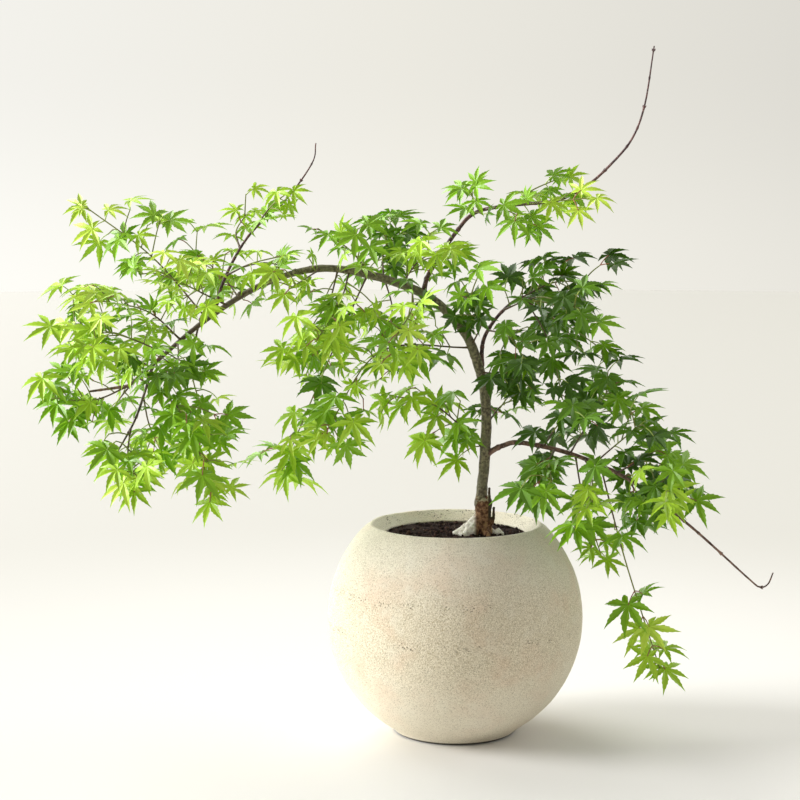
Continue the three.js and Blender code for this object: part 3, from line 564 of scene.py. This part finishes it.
for owner, shoot in enumerate(SHOOTS):
    grow_leaves(owner, shoot, shoot["feet"], RULE, 0)
for owner, shoot in enumerate(SHOOTS):
    feet, spurs = finer_feet(shoot)
    chance = by_prefix(THINNED, shoot["mass"][0], 1.0)
    seed = shoot["mass"][9] * 100003 + 40009
    feet = [{**foot, "number": i} for i, foot in enumerate(feet) if stream(seed + i)() <= chance]
    used = {foot.get("spur") for foot in grow_leaves(owner, shoot, feet, FINER, 50021)}
    shoot["spurs"] = [spur for i, spur in enumerate(spurs) if i in used]


def noise(points, size, seed=0):
    """Smooth seeded noise from -1 to 1, its bumps about that many millimetres apart."""
    place = np.asarray(points, float) / size
    cell = np.floor(place).astype(np.int64)
    part = place - cell
    part = part * part * (3 - 2 * part)
    total = np.zeros(len(place))
    for corner in np.ndindex(2, 2, 2):
        x, y, z = (cell + corner).T
        value = (x * 73856093) ^ (y * 19349663) ^ (z * 83492791) ^ (seed * 40503 + 977)
        value = ((value & WORD) * 1274126177) & WORD
        value = ((value ^ (value >> 15)) * 2246822519) & WORD
        weight = np.prod(np.where(np.array(corner) == 1, part, 1 - part), axis=1)
        total += weight * (((value >> 8) & 0xFFFF) / 32767.5 - 1)
    return total


def layers(points, *rows):
    """Noises added up, each given by its strength, its bump size and its seed."""
    return sum(strength * noise(points, size, seed) for strength, size, seed in rows)


class Shell:
    """Points, faces and each face's material, gathered for one piece."""

    def __init__(self):
        self.points = []
        self.faces = []
        self.tones = []
        self.count = 0

    def add(self, points, faces, tones):
        self.points.append(points)
        self.faces.extend((np.asarray(faces) + self.count).tolist())
        self.tones.extend([tones] * len(faces) if np.isscalar(tones) else tones)
        self.count += len(points)


def stack_faces(rings, sides):
    """Faces of a stack of rings, closed by two points after the rings: one at its start, one at its end."""
    here = np.arange(sides)
    there = (here + 1) % sides
    top = (rings - 1) * sides
    faces = []
    for low in range(0, top, sides):
        high = low + sides
        faces.extend(zip(low + here, low + there, high + there))
        faces.extend(zip(low + here, high + there, high + here))
    first_end = np.full(sides, rings * sides)
    faces.extend(zip(there, here, first_end))
    faces.extend(zip(top + here, top + there, first_end + 1))
    return faces


def add_tube(shell, path, radii, sides, tones=0, relief=None):
    """A closed tube along a path, with its rings square to it and a point at each end."""
    ways = np.gradient(path, axis=0)
    ways /= np.linalg.norm(ways, axis=1)[:, None]
    side = unit(np.cross(ways[0], [0.31, 0.9, 0.3]))
    angles = np.arange(sides) * 2 * math.pi / sides
    rings = []
    for way, centre, radius in zip(ways, path, radii):
        side = unit(side - way * (side @ way))
        spokes = np.outer(np.cos(angles), side) + np.outer(np.sin(angles), np.cross(way, side))
        ring = centre + spokes * radius
        if relief:
            ring = ring + spokes * relief(ring, radius)[:, None]
        rings.append(ring)
    ends = [path[0] - ways[0] * radii[0] * 0.4, path[-1] + ways[-1] * radii[-1] * 0.6]
    if not np.isscalar(tones):
        tones = np.repeat(tones[:-1], 2 * sides).tolist() + [tones[0]] * sides + [tones[-1]] * sides
    shell.add(np.vstack(rings + ends), stack_faces(len(path), sides), tones)


def turned(profile, turns):
    """Points and faces of a closed profile turned round the axis that its first and last point are on."""
    angles = np.arange(turns) * 2 * math.pi / turns
    rings = [np.column_stack([r * np.cos(angles), r * np.sin(angles), np.full(turns, z)])
             for r, z in profile[1:-1]]
    points = np.vstack(rings + [[0, 0, profile[0][1]], [0, 0, profile[-1][1]]])
    return points, stack_faces(len(rings), turns)


def put_in_scene(name, data):
    """An object of the scene from a mesh, a lamp or a camera."""
    made = bpy.data.objects.new(name, data)
    bpy.context.scene.collection.objects.link(made)
    return made


def new_object(name, shell, looks, smooth=True):
    """One object of the scene from a shell."""
    mesh = bpy.data.meshes.new(name)
    mesh.from_pydata((np.vstack(shell.points) * MM).tolist(), [], shell.faces)
    mesh.polygons.foreach_set("material_index", shell.tones)
    mesh.polygons.foreach_set("use_smooth", [smooth] * len(mesh.polygons))
    for look in looks:
        mesh.materials.append(look)
    mesh.update()
    return put_in_scene(name, mesh)


def make_piece(name, shell, looks, nodes, smooth=True):
    """A piece that rides on the frame in place of those nodes."""
    piece = new_object(name, shell, looks, smooth)
    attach(piece, "root")
    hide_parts(*nodes)
    return piece


def colour(code):
    """Linear red, green, blue and alpha of a screen colour."""
    channels = [int(code[i:i + 2], 16) / 255 for i in (1, 3, 5)]
    return [c / 12.92 if c <= 0.04045 else ((c + 0.055) / 1.055) ** 2.4 for c in channels] + [1]


def feed(tree, socket, value):
    """Gives an input a number, a vector, a colour by its code, or another node's output."""
    if isinstance(value, bpy.types.NodeSocket):
        tree.links.new(value, socket)
    else:
        socket.default_value = colour(value) if isinstance(value, str) else value


def add_node(tree, kind, inputs, **settings):
    """The outputs of a new node."""
    node = tree.nodes.new("ShaderNode" + kind)
    for name, value in settings.items():
        setattr(node, name, value)
    for key, value in inputs.items():
        feed(tree, node.inputs[key], value)
    return node.outputs


def spread(tree, value, start, end, low=0.0, high=1.0):
    """A number that goes softly from low to high as the value goes from start to end."""
    ends = {"From Min": start, "From Max": end, "To Min": low, "To Max": high}
    return add_node(tree, "MapRange", {"Value": value, **ends}, interpolation_type="SMOOTHSTEP")["Result"]


class Look:
    """A node material built up round its shader, in the object's own coordinates."""

    def __init__(self, name, roughness, specular, base):
        self.base = base
        self.material = bpy.data.materials.new(name)
        self.material.use_nodes = True
        self.tree = self.material.node_tree
        self.shader = self.tree.nodes["Principled BSDF"].inputs
        self.shader["Roughness"].default_value = roughness
        self.shader["Specular IOR Level"].default_value = specular

    def place(self, stretch=(1, 1, 1)):
        """Where a point is on the object, in millimetres times the stretch."""
        where = add_node(self.tree, "TexCoord", {})["Object"]
        scale = [share / MM for share in stretch]
        return add_node(self.tree, "Mapping", {"Vector": where, "Scale": scale})["Vector"]

    def grain(self, size, detail):
        """Noise with bumps about that many millimetres apart."""
        settings = {"Scale": 1 / size, "Detail": detail, "Vector": self.place()}
        return add_node(self.tree, "TexNoise", settings)["Fac"]

    def patches(self, size, detail, start, end):
        """Noise as a share that goes from 0 to 1 between two of its levels."""
        return spread(self.tree, self.grain(size, detail), start, end)

    def dots(self, size, start, end, stretch=(1, 1, 1)):
        """A share by the distance from the middle of the nearest cell of that size."""
        settings = {"Scale": 1 / size, "Vector": self.place(stretch)}
        return spread(self.tree, add_node(self.tree, "TexVoronoi", settings)["Distance"], start, end)

    def along(self, axis, start, end):
        """A share that goes from 0 to 1 between two places on an axis, in millimetres."""
        return spread(self.tree, add_node(self.tree, "SeparateXYZ", {0: self.place()})[axis], start, end)

    def away(self, start, end):
        """A share that goes from 0 to 1 between two distances from the origin, in millimetres."""
        length = add_node(self.tree, "VectorMath", {0: self.place()}, operation="LENGTH")["Value"]
        return spread(self.tree, length, start, end)

    def join(self, operation, first, *others):
        """The first share or number, with each of the others joined to it in turn."""
        for other in others:
            first = add_node(self.tree, "Math", {0: first, 1: other}, operation=operation)[0]
        return first

    def both(self, *shares):
        """The product of shares or numbers."""
        return self.join("MULTIPLY", *shares)

    def either(self, *shares):
        """The largest of shares or numbers."""
        return self.join("MAXIMUM", *shares)

    def blend(self, share, first, second):
        """One colour going over into another."""
        return add_node(self.tree, "Mix", {0: share, 6: first, 7: second}, data_type="RGBA")[2]

    def coat(self, share, tint, strength=1):
        """Lays a colour over the base so far, where the share says and as far as the strength."""
        self.base = self.blend(self.both(share, strength), self.base, tint)

    def finish(self, height=None, depth=0.0):
        """Sets the colour, and a bump that is that many millimetres deep."""
        feed(self.tree, self.shader["Base Color"], self.base)
        if height is not None:
            bump = add_node(self.tree, "Bump", {"Strength": 1, "Distance": depth * MM, "Height": height})
            self.tree.links.new(bump["Normal"], self.shader["Normal"])
        return self.material


# The arch and the trunk above the graft: grey olive, streaked, browner towards the arch's end.
bark = Look("bark", 0.55, 0.5, "#4B4230")
bark.coat(bark.patches(2.6, 5, 0.35, 0.7), "#948B6B")
bark.coat(bark.patches(16, 3, 0.4, 0.65), "#6F6C4F", 0.6)
bark.coat(bark.along(0, -120, -270), "#4A342A", 0.8)
bark.coat(bark.patches(4.5, 6, 0.66, 0.74), "#382E22")
BARK = bark.finish(bark.grain(1.1, 6), 0.6)

# The trunk's foot: whitish roots on both sides, a reddish brown stock and, above it, the graft's olive, with
# painted shade down the right side of its upper part.
foot = Look("foot_bark", 0.85, 0.3, "#5C3C28")
mottle = foot.patches(3.2, 5, 0.36, 0.66)
foot.coat(mottle, "#A5805F")
left = foot.both(foot.along(0, 22, 17), foot.along(2, 228, 219))
right = foot.both(foot.along(0, 37, 39), foot.along(2, 214, 210))
foot.coat(foot.either(left, right), foot.blend(mottle, "#DAD0C4", "#FDF9F2"))
foot.coat(foot.both(foot.along(2, 234, 239), spread(foot.tree, mottle, 0.2, 0.7)), "#A9A588")
# Painted shade: the right side above the roots, snags included, is darkened as if out of the light.
foot.coat(foot.both(foot.along(0, 32.6, 33.4), foot.along(2, 214, 220)), "#4A4030")
FOOT_BARK = foot.finish(foot.grain(1.4, 6), 1.0)


def bough_look(name, dark, light):
    """Young bark: a little glossy, mottled, with pale specks and a fine grain."""
    look = Look(name, 0.5, 0.45, dark)
    look.coat(look.patches(5, 4, 0.36, 0.66), light)
    look.coat(look.patches(1.3, 2, 0.64, 0.7), "#B7A393")
    return look.finish(look.grain(1.0, 4), 0.35)


WHIP_BARK = bough_look("whip_bark", "#3A2427", "#6E4A45")
LOW_BARK = bough_look("low_bark", "#4C352D", "#8C6B5B")
DARK_BARK = bough_look("dark_bark", "#33281F", "#66564A")



def plain_looks(*rows):
    """Materials of one colour, each given by its name, roughness, specular level and colour."""
    return [Look(*row).finish() for row in rows]


TWIG_LOOKS = plain_looks(("twig_brown", 0.5, 0.4, "#5C4A36"), ("twig_green", 0.45, 0.45, "#7C8238"))
STALK_LOOKS = plain_looks(("stalk_green", 0.4, 0.5, "#A9BC58"), ("stalk_red", 0.4, 0.5, "#9C5A42"))
LEAF_LOOKS = plain_looks(*[(f"leaf_tone_{i}", 0.36, 0.45, tone) for i, tone in enumerate(TONES)])
CRUMB_LOOKS = plain_looks(
    ("crumb_dark", 0.95, 0.15, "#281C19"),
    ("crumb_brown", 0.9, 0.2, "#4A332A"),
    ("crumb_grey", 0.9, 0.2, "#8A7B6C"),
)

# Cast stone: sandy cream, finely speckled, with warm stains, paler below and above as painted light, pits
# along two belts and inside the lip at the back, pores all over, and a dark line where it meets the floor as
# painted contact shadow.
stone = Look("cast_stone", 0.7, 0.35, "#BAAC8D")
stone.coat(stone.patches(0.9, 4, 0.34, 0.66), "#F0E7D1")
stone.coat(stone.patches(46, 2, 0.46, 0.74), "#DCB597", 0.36)
stone.coat(stone.patches(17, 4, 0.5, 0.75), "#E2DCC8", 0.4)
# Painted light: paler towards the bottom, standing in for light thrown up by the pale floor.
stone.coat(stone.along(2, 110, 25), "#EEE7D4", 0.6)
# Painted light: paler towards the top, standing in for light falling from above.
stone.coat(stone.along(2, 135, 205), "#EEEADC", 0.4)
belts = [stone.both(stone.along(2, low, low + 4), stone.along(2, high, high - 4)) for low, high in PIT_BELTS]
lip_belt = stone.both(stone.along(2, 203, 207), stone.along(1, -10, 40))
belts = stone.either(*belts, lip_belt, 0.15)
holes = stone.both(stone.dots(2.9, 0.36, 0.16, (1, 1, 1.9)), stone.patches(2.2, 3, 0.36, 0.46))
pits = stone.both(holes, stone.patches(24, 2, 0.46, 0.56), belts)
marks = stone.either(pits, stone.both(stone.dots(2.1, 0.26, 0.12), 0.42))
stone.coat(marks, "#6B5E49")
# Painted shade: a dark line at the very bottom stands in for the contact shadow on the floor.
stone.coat(stone.along(2, 3.2, 1.5), "#3A3328")
STONE = stone.finish(stone.join("SUBTRACT", stone.both(stone.grain(1.3, 4), 0.3), marks), 0.8)

# Damp potting soil.
earth = Look("earth", 0.95, 0.15, "#1C1411")
earth.coat(earth.patches(1.8, 5, 0.35, 0.68), "#402E26")
EARTH = earth.finish(earth.grain(1.2, 6), 1.5)


def ball(centre, radius, seed):
    """A round body as a short path, tilted by the seed, and its radii."""
    rise = np.linspace(-0.9, 0.9, 7)
    path = np.array(centre) + np.outer(rise * radius, unit(np.array([0.3 * math.sin(seed), 0.2, 1.0])))
    return path, radius * np.sqrt(1 - rise**2)


arch = Route(ROUTES["arch"], 900)


def arch_radius(share):
    """The trunk's and the arch's radius, with the spread foot and the swollen graft."""
    plain = np.interp(share, [0, TRUNK_END, CREST_END, 1], ARCH_RADII)
    along = share / TRUNK_END
    return plain + 2.2 * np.exp(-along * 24) + 1.1 * np.exp(-(((along - 0.155) / 0.02) ** 2))


def per_vertex(mesh, name):
    """A vector of each vertex, such as its place or its normal."""
    values = np.empty(len(mesh.vertices) * 3)
    mesh.vertices.foreach_get(name, values)
    return values.reshape(-1, 3)


def build_trunk_foot():
    """The foot's skin: its parts are remeshed as one, and then roughened."""
    rough = Shell()
    shares = np.linspace(0.004, 0.078, 26)
    path = np.array([arch.at(share) for share in shares])
    stock = np.clip((STOCK["top"] - path[:, 2]) / 7, 0, 1)
    path[:, 0] += STOCK["shift"] * stock
    add_tube(rough, path, arch_radius(shares) + STOCK["extra"] * stock, 24)
    for degrees, reach, rise, thickness in ROOTS:
        way = np.array([math.cos(math.radians(degrees)), math.sin(math.radians(degrees)), 0])
        start = np.array([*TRUNK_FOOT, SOIL["level"] + rise])
        middle = start + way * reach * 0.5 - UP * rise * 0.65
        root = Route([start, middle, start + way * reach - UP * (rise + 2)], 12)
        add_tube(rough, root.fine, np.linspace(thickness * 0.85, thickness * 0.6, 13), 14)
    for start, knee, top, radius in SNAGS:
        add_tube(rough, Route([start, knee, top], 14).fine, np.linspace(radius, radius * 0.75, 15), 10)
    for seed, (x, y, z, radius) in enumerate(LUMPS):
        add_tube(rough, *ball((x, y, z), radius, seed), 10)
    piece = make_piece("trunk_foot", rough, [FOOT_BARK], ["trunk"])
    melt = piece.modifiers.new("melt", "REMESH")
    melt.mode = "VOXEL"
    melt.voxel_size = SKIN["voxel"] * MM
    piece.modifiers.new("soften", "SMOOTH").iterations = SKIN["smoothing"]
    skin = bpy.data.meshes.new_from_object(piece.evaluated_get(bpy.context.evaluated_depsgraph_get()))
    piece.modifiers.clear()
    piece.data = skin
    points = per_vertex(skin, "co") / MM
    push = 0.45 * noise(points * (1, 1, 0.6), 4, 1)
    push = push + 0.22 * noise(points, 1.9, 2) + 0.1 * noise(points, 1, 3)
    points = points + per_vertex(skin, "normal") * push[:, None]
    skin.vertices.foreach_set("co", (points * MM).ravel())
    skin.polygons.foreach_set("use_smooth", [True] * len(skin.polygons))
    skin.update()


def add_limb(shell, route, start, radius_at, sides, seed, pitch, swelling, step):
    """A limb with lengthwise ridges, and a swelling with a scar at each of its old leaf nodes."""
    shares = np.linspace(start, 1, int((1 - start) * route.total / step) + 2)
    path = np.array([route.at(share) for share in shares])
    radii = radius_at(shares)
    draw = stream(seed * 613)
    place = start * route.total + pitch * (0.3 + 0.5 * draw())
    nodes = []
    while place < route.total - 3:
        nodes.append(place / route.total)
        bulge = np.exp(-(((shares * route.total - place) / 1.5) ** 2))
        scar = np.exp(-(((shares * route.total - place - 2.6) / 0.7) ** 2))
        radii = radii + radii * swelling * (bulge - 0.35 * scar) * (0.6 + 0.8 * draw())
        place += pitch * (0.75 + 0.5 * draw())
    shift = np.array([seed * 37.0, 11.0, 5.0])

    def relief(ring, radius):
        ridges = noise(ring * (1, 1, 0.45) + shift, 3.2, seed)
        fine = noise(ring + shift, 1.3, seed + 50)
        return radius * (0.055 * ridges + 0.03 * fine + 0.05 * noise(ring + shift, 9, seed + 90))

    add_tube(shell, path, radii, sides, 0, relief)
    return nodes


def add_buds(shell, route, nodes, length):
    """Opposite pairs of small pointed buds at a whip's nodes, each pair turned against the last."""
    for i, share in enumerate(nodes):
        along = route.heading(share)
        for sign in (1, -1):
            side = crossways(along, 0.4 + (i % 2) * math.pi / 2) * sign
            start = route.at(share) + side * length * 0.12
            path = start + np.outer(np.linspace(0, 1, 5) * length, unit(along + side * 0.55))
            add_tube(shell, path, np.array([0.16, 0.3, 0.27, 0.16, 0.04]) * length, 7)


def tapering(first, last, collar, route):
    """Radius along a limb that spreads where it leaves its parent."""

    def radius_at(share):
        return mix(first, last, share) + collar * np.exp(-np.maximum(share * route.total - 3, 0) / 3.5)

    return radius_at


def build_limbs():
    """The trunk and its arch above the foot, and then the boughs."""
    shell = Shell()
    add_limb(shell, arch, 0.066, arch_radius, 30, 1, 47, 0.045, 1.6)
    for number, (x, y, z) in enumerate(KNOTS):
        add_tube(shell, *ball((x, y - 2, z), 3.1, number), 10)
    make_piece("trunk_and_arch", shell, [BARK], ["trunk", "arch_crest", "arch_fall"])
    radii = {limb[0]: (limb[4], limb[5]) for limb in LIMBS}
    looks = {"whip": WHIP_BARK, "low": LOW_BARK, "dark": DARK_BARK}
    for name, look, sides, seed, pitch, swelling, collar, bud in BOUGHS:
        route = Route(ROUTES[name], 400)
        shell = Shell()
        taper = tapering(*radii[name], collar, route)
        nodes = add_limb(shell, route, 0, taper, sides, seed, pitch, swelling, 1.3)
        if bud:
            add_buds(shell, route, [node for node in nodes if node > 0.35], bud)
        make_piece(name + "_bark", shell, [looks[look]], [name])


def leaf_pattern():
    """One leaf's points as lobe, next lobe, share along, half-width, lift and swing, and its faces."""
    last = len(LOBES) - 1
    rows = [(3, 3, 0.0, 0.0, 0.0, 0.0), (0, 0, 0.12, 0.0, 0.1, -38.0)]
    rows += [(i, i + 1, NOTCH, 0.0, 0.5, 0.0) for i in range(last)]
    rows.append((last, last, 0.12, 0.0, 0.1, 38.0))
    faces = []
    for i, (_, length) in enumerate(LOBES):
        ribs, edge = (RIB, EDGE) if length > 0.6 else (SMALL_RIB, SMALL_EDGE)
        rib_line = [(share, 0, len(rows) + k) for k, share in enumerate([*ribs, 1.0])]
        rows += [(i, i, share, 0.0, 0.0, 0.0) for share in [*ribs, 1.0]]
        for side in (-1, 1):
            edge_line = [(share, 1, len(rows) + k) for k, (share, _) in enumerate(edge)]
            rows += [(i, i, share, side * width, width, 0.0) for share, width in edge]
            rib, rim = 0, 1 + i + (side > 0)
            for _, on_rim, point in sorted(rib_line + edge_line):
                faces.append((rib, rim, point)[::-side])
                rib, rim = (rib, point) if on_rim else (point, rim)
    return np.array(rows), faces


PATTERN, LEAF_FACES = leaf_pattern()


def leaf_points(leaf, number, breadth):
    """One leaf's points, a little different in each leaf."""
    draw = np.random.default_rng(number)
    first, second = PATTERN[:, 0].astype(int), PATTERN[:, 1].astype(int)
    share, width, lift, swing = PATTERN[:, 2:].T
    count = len(LOBES)
    angles = np.array([lobe[0] for lobe in LOBES]) + draw.normal(0, 3.5, count)
    lengths = np.array([lobe[1] for lobe in LOBES]) * (1 + draw.normal(0, 0.05, count))
    bends = draw.normal(0, 0.05, count)
    drops = draw.normal(0.02, 0.05, count)
    fold = draw.uniform(0.3, 0.7)
    angle = np.radians((angles[first] + angles[second]) / 2 + swing)
    reach = share * (lengths[first] + lengths[second]) / 2
    aside = width * breadth * (0.55 + 0.45 * lengths[first]) + bends[first] * share**2
    x = reach * np.cos(angle) - aside * np.sin(angle)
    y = reach * np.sin(angle) + aside * np.cos(angle)
    z = lift * breadth * fold - leaf["droop"] * (x * x + y * y) - drops[first] * share**2
    z -= draw.uniform(0, 0.1) * share**4
    flat = np.outer(x, leaf["axis"]) + np.outer(y, leaf["across"]) + np.outer(z, leaf["face"])
    return leaf["joint"] + flat * leaf["size"]


def add_twig(shell, twig):
    """A stem that spreads a little at its foot and greens along its length, or an all green side twig."""
    steps = 20
    route = Route(twig["route"].guides, steps)
    radii = np.linspace(*twig["radii"], steps + 1) * TWIG_SLIMNESS
    if not twig["side"]:
        radii = radii + 0.6 * np.exp(-np.arange(steps + 1) * route.total / steps / 5)
    tones = [int(twig["side"] or share > 0.4) for share in np.linspace(0, 1, steps + 1)]
    add_tube(shell, route.fine, radii, 7, tones)


def build_foliage():
    """Leaves by region, and all their stalks and all the twigs."""
    shells = {region: Shell() for region in dict.fromkeys(REGIONS.values())}
    names = {region: [] for region in shells}
    stalks = Shell()
    twigs = Shell()
    for owner, shoot in enumerate(SHOOTS):
        name = shoot["mass"][0]
        region = by_prefix(REGIONS, name)
        names[region].append("leaves_" + name)
        # Each mass's tones hold painted light on the left and painted shade on the right, besides the
        # leaves' own colour.
        foot_tone, tip_tone = by_prefix(MASS_TONES_AND_PAINTED_LIGHT, name)
        for i, leaf in enumerate(shoot["leaves"]):
            foot = leaf["foot"]
            spray = stream(owner * 7907 + int(foot["young"] * 9) * 131 + foot.get("spur", 0))
            tone = mix(foot_tone, tip_tone, foot["young"]) + (spray() - 0.5) * TONE_RANGE
            tone = int(min(max(round(tone), 0), len(TONES) - 1))
            breadth = LOBE_WIDTH[0] + LOBE_WIDTH[1] * tone + LOBE_WIDTH[2] * spray()
            shells[region].add(leaf_points(leaf, owner * 1000 + i, breadth), LEAF_FACES, tone)
            start, end = foot["at"], leaf["joint"] + leaf["axis"] * 0.4
            bow = (start + end) / 2 + UP * np.linalg.norm(end - start) * 0.08
            is_red = int(spray() > GREEN_STALKS)
            add_tube(stalks, Route([start, bow, end], 4).fine, np.linspace(*STALK_RADII, 5), 5, is_red)
        for twig in shoot["twigs"]:
            add_twig(twigs, twig)
        for spur in shoot["spurs"]:
            add_tube(twigs, Route(spur.guides, 8).fine, np.linspace(*SPUR_RADII, 9), 6, 1)
    for region, shell in shells.items():
        make_piece("foliage_" + region, shell, LEAF_LOOKS, names[region], smooth=False)
    every_name = ["leaves_" + mass[0] for mass in MASSES]
    make_piece("leaf_stalks", stalks, STALK_LOOKS, every_name)
    make_piece("twigs", twigs, TWIG_LOOKS, every_name)


def ball_at(z, inset=0):
    """The radius at a height of the pot's ball, or of one that is so much smaller."""
    return math.sqrt((POT["radius"] - inset) ** 2 - (z - POT["centre"]) ** 2)


def inside_at(z):
    return ball_at(z, POT["wall"])


def build_pot():
    """The ball of cast stone, with a softly rounded lip and a slightly uneven skin."""
    foot, floor, lip = POT["foot"], POT["floor"], POT["lip"]
    profile = [(r, 0) for r in (0, 20, 40, 52, foot - 2)]
    profile += [(foot - 0.4, 0.25), (foot + 1.3, 1.3), (foot + 3, 3)]
    profile += [(ball_at(z), z) for z in np.linspace(6, 209, 106)]
    centre = (POT["mouth"] + lip + 0.1, POT["height"] - lip)
    for degrees in np.linspace(40, 130, 9):
        turn = math.radians(degrees)
        profile.append((centre[0] + lip * math.cos(turn), centre[1] + lip * math.sin(turn)))
    slope_top, slope_end = np.array(profile[-1]), np.array([inside_at(SOIL["level"]), SOIL["level"]])
    profile += [tuple(mix(slope_top, slope_end, share)) for share in np.linspace(0.1, 1, 10)]
    profile += [(inside_at(z), z) for z in (198, 190, 165, 120, 80, 40, floor)] + [(0, floor)]
    points, faces = turned(profile, POT["sides"])
    ways = points - (0, 0, POT["centre"])
    away = np.linalg.norm(ways, axis=1)
    ways /= away[:, None]
    outer = np.clip((points[:, 2] - 4) / 8, 0, 1) * (np.hypot(points[:, 0], points[:, 1]) > 1)
    push = layers(points, (0.5, 42, 5), (0.22, 11, 6), (0.1, 3.4, 7))
    push = np.where(away > POT["radius"] - POT["wall"] - 3, push, push * 0.3) - 0.35
    shell = Shell()
    shell.add(points + ways * (push * outer)[:, None], faces, 0)
    make_piece("pot_body", shell, [STONE], ["pot"])


def soil_level(x, y):
    """Height of the soil: flat round the trunk, sinking in soft lumps to the wall."""
    away = np.clip(np.hypot(x - TRUNK_FOOT[0], y - TRUNK_FOOT[1]) - SOIL["flat"], 0, 40) / 40
    lumps = 0.5 + 0.5 * np.sin(x * 0.13 + 1) * np.cos(y * 0.17)
    return SOIL["level"] - SOIL["sink"] * away * (0.4 + 0.6 * lumps)


def crumb_forms():
    """Corners and faces of a small round crumb and of a big one."""
    forms = []
    for subdivisions in (1, 2):
        bpy.ops.mesh.primitive_ico_sphere_add(subdivisions=subdivisions, radius=1)
        form = bpy.context.object
        corners = np.array([vertex.co for vertex in form.data.vertices])
        forms.append((corners, [tuple(face.vertices) for face in form.data.polygons]))
        bpy.data.objects.remove(form)
    return forms


def build_soil():
    """The soil's rough surface with its crumbs, and its body down to the pot's floor."""
    edge = inside_at(SOIL["level"] - 1) - 0.4
    bottom, top = POT["floor"] + 0.5, 200.0
    profile = [(0, bottom)] + [(inside_at(z) - 0.6, z) for z in (bottom, 40, 80, 120, 165, 198)]
    profile += [(r, top) for r in np.linspace(edge, 0.8, 62)] + [(0, top)]
    points, faces = turned(profile, SOIL["sides"])
    upper = points[:, 2] > top - 0.5
    rough = layers(points[upper], (1.0, 6.5, 11), (0.6, 2.9, 12))
    points[upper, 2] = soil_level(points[upper, 0], points[upper, 1]) - 0.6 + rough
    shell = Shell()
    shell.add(points, faces, 0)
    make_piece("soil_body", shell, [EARTH], ["soil"])
    draw = np.random.default_rng(21)
    forms = crumb_forms()
    crumbs = Shell()
    for number in range(CRUMBS["tries"]):
        radius = edge * math.sqrt(draw.uniform(0, 0.985))
        turn = draw.uniform(0, 2 * math.pi)
        x, y = radius * math.cos(turn), radius * math.sin(turn)
        is_big = number % CRUMBS["big_one_in"] == 0
        size = draw.uniform(*CRUMBS["big" if is_big else "small"])
        form, triangles = forms[int(is_big)]
        lumpy = form * (1 + 0.3 * noise(form * 3 + number * 7.3, 1.6, 31))[:, None]
        spin = np.linalg.qr(draw.normal(0, 1, (3, 3)))[0]
        lumpy = (lumpy * draw.uniform(0.6, 1.1, 3)) @ spin * size
        if math.hypot(x, y) + size * 1.4 > edge:
            continue
        lumpy = lumpy + (x, y, soil_level(x, y) - 0.5 + size * 0.15)
        crumbs.add(lumpy, triangles, int(draw.choice(len(CRUMB_LOOKS), p=CRUMBS["shares"])))
    make_piece("soil_crumbs", crumbs, CRUMB_LOOKS, ["soil"])


build_pot()
build_soil()
build_trunk_foot()
build_limbs()
build_foliage()


def build_floor():
    """A wide pale floor with a painted pool of light: it darkens a little away from the pot, and a little
    more to the right as painted shade.
    """
    radius, under, level = FLOOR["radius"], -FLOOR["thickness"], -FLOOR["gap"]
    profile = [(0, under), (radius, under), (radius, level), (FLOOR["inner"], level), (0, level)]
    shell = Shell()
    shell.add(*turned(profile, 96), 0)
    look = Look("floor", 0.7, 0.2, "#E2E0DC")
    # Painted light and shade: lighter near the pot, darker away from it, and darker still to the right.
    look.coat(look.away(150, 1300), look.blend(look.along(0, -2300, 2300), "#D2D0CA", "#C3C1BA"))
    floor = new_object("floor", shell, [look.finish()], smooth=False)


def add_sun(name, place, strength, softness, tint):
    """Parallel soft light that comes from a place towards the origin."""
    lamp = bpy.data.lights.new(name, "SUN")
    lamp.energy = strength
    lamp.angle = math.radians(softness)
    lamp.color = tint
    x, y, z = place
    put_in_scene(name, lamp).rotation_euler = (math.atan2(math.hypot(x, y), z), 0, math.atan2(x, -y))


def light_all_round():
    """A pale room: brightest behind to the left, dimmer in front and to the right, brighter below."""
    world = bpy.data.worlds.new("soft_light")
    world.use_nodes = True
    tree = world.node_tree
    way = add_node(tree, "TexCoord", {})["Generated"]
    facing = add_node(tree, "VectorMath", {0: way, 1: (-0.8, 0.6, 0)}, operation="DOT_PRODUCT")["Value"]
    share = add_node(tree, "MapRange", {"Value": facing, "From Min": -1})["Result"]
    ramp = tree.nodes.new("ShaderNodeValToRGB")
    stops = ramp.color_ramp.elements
    stops[0].color = (0.37, 0.36, 0.34, 1)
    stops[1].color = (1.0, 1.0, 0.98, 1)
    for place, tint in ((0.5, (0.47, 0.46, 0.43, 1)), (0.8, (0.84, 0.82, 0.75, 1))):
        stops.new(place).color = tint
    tree.links.new(share, ramp.inputs["Fac"])
    rise = add_node(tree, "SeparateXYZ", {0: way})["Z"]
    background = tree.nodes["Background"].inputs
    tree.links.new(ramp.outputs["Color"], background["Color"])
    tree.links.new(spread(tree, rise, -0.06, 0.07, 1.12, 1), background["Strength"])
    bpy.context.scene.world = world


def aim_camera():
    camera = put_in_scene("camera", bpy.data.cameras.new("camera"))
    camera.location = CAMERA["place"]
    camera.rotation_euler = (math.radians(CAMERA["tilt"]), 0, 0)
    camera.data.lens = CAMERA["lens"]
    camera.data.sensor_width = CAMERA["sensor"]
    bpy.context.scene.camera = camera


build_floor()
light_all_round()
for sun in SUNS:
    add_sun(*sun)
bpy.context.scene.view_settings.view_transform = "Standard"
aim_camera()
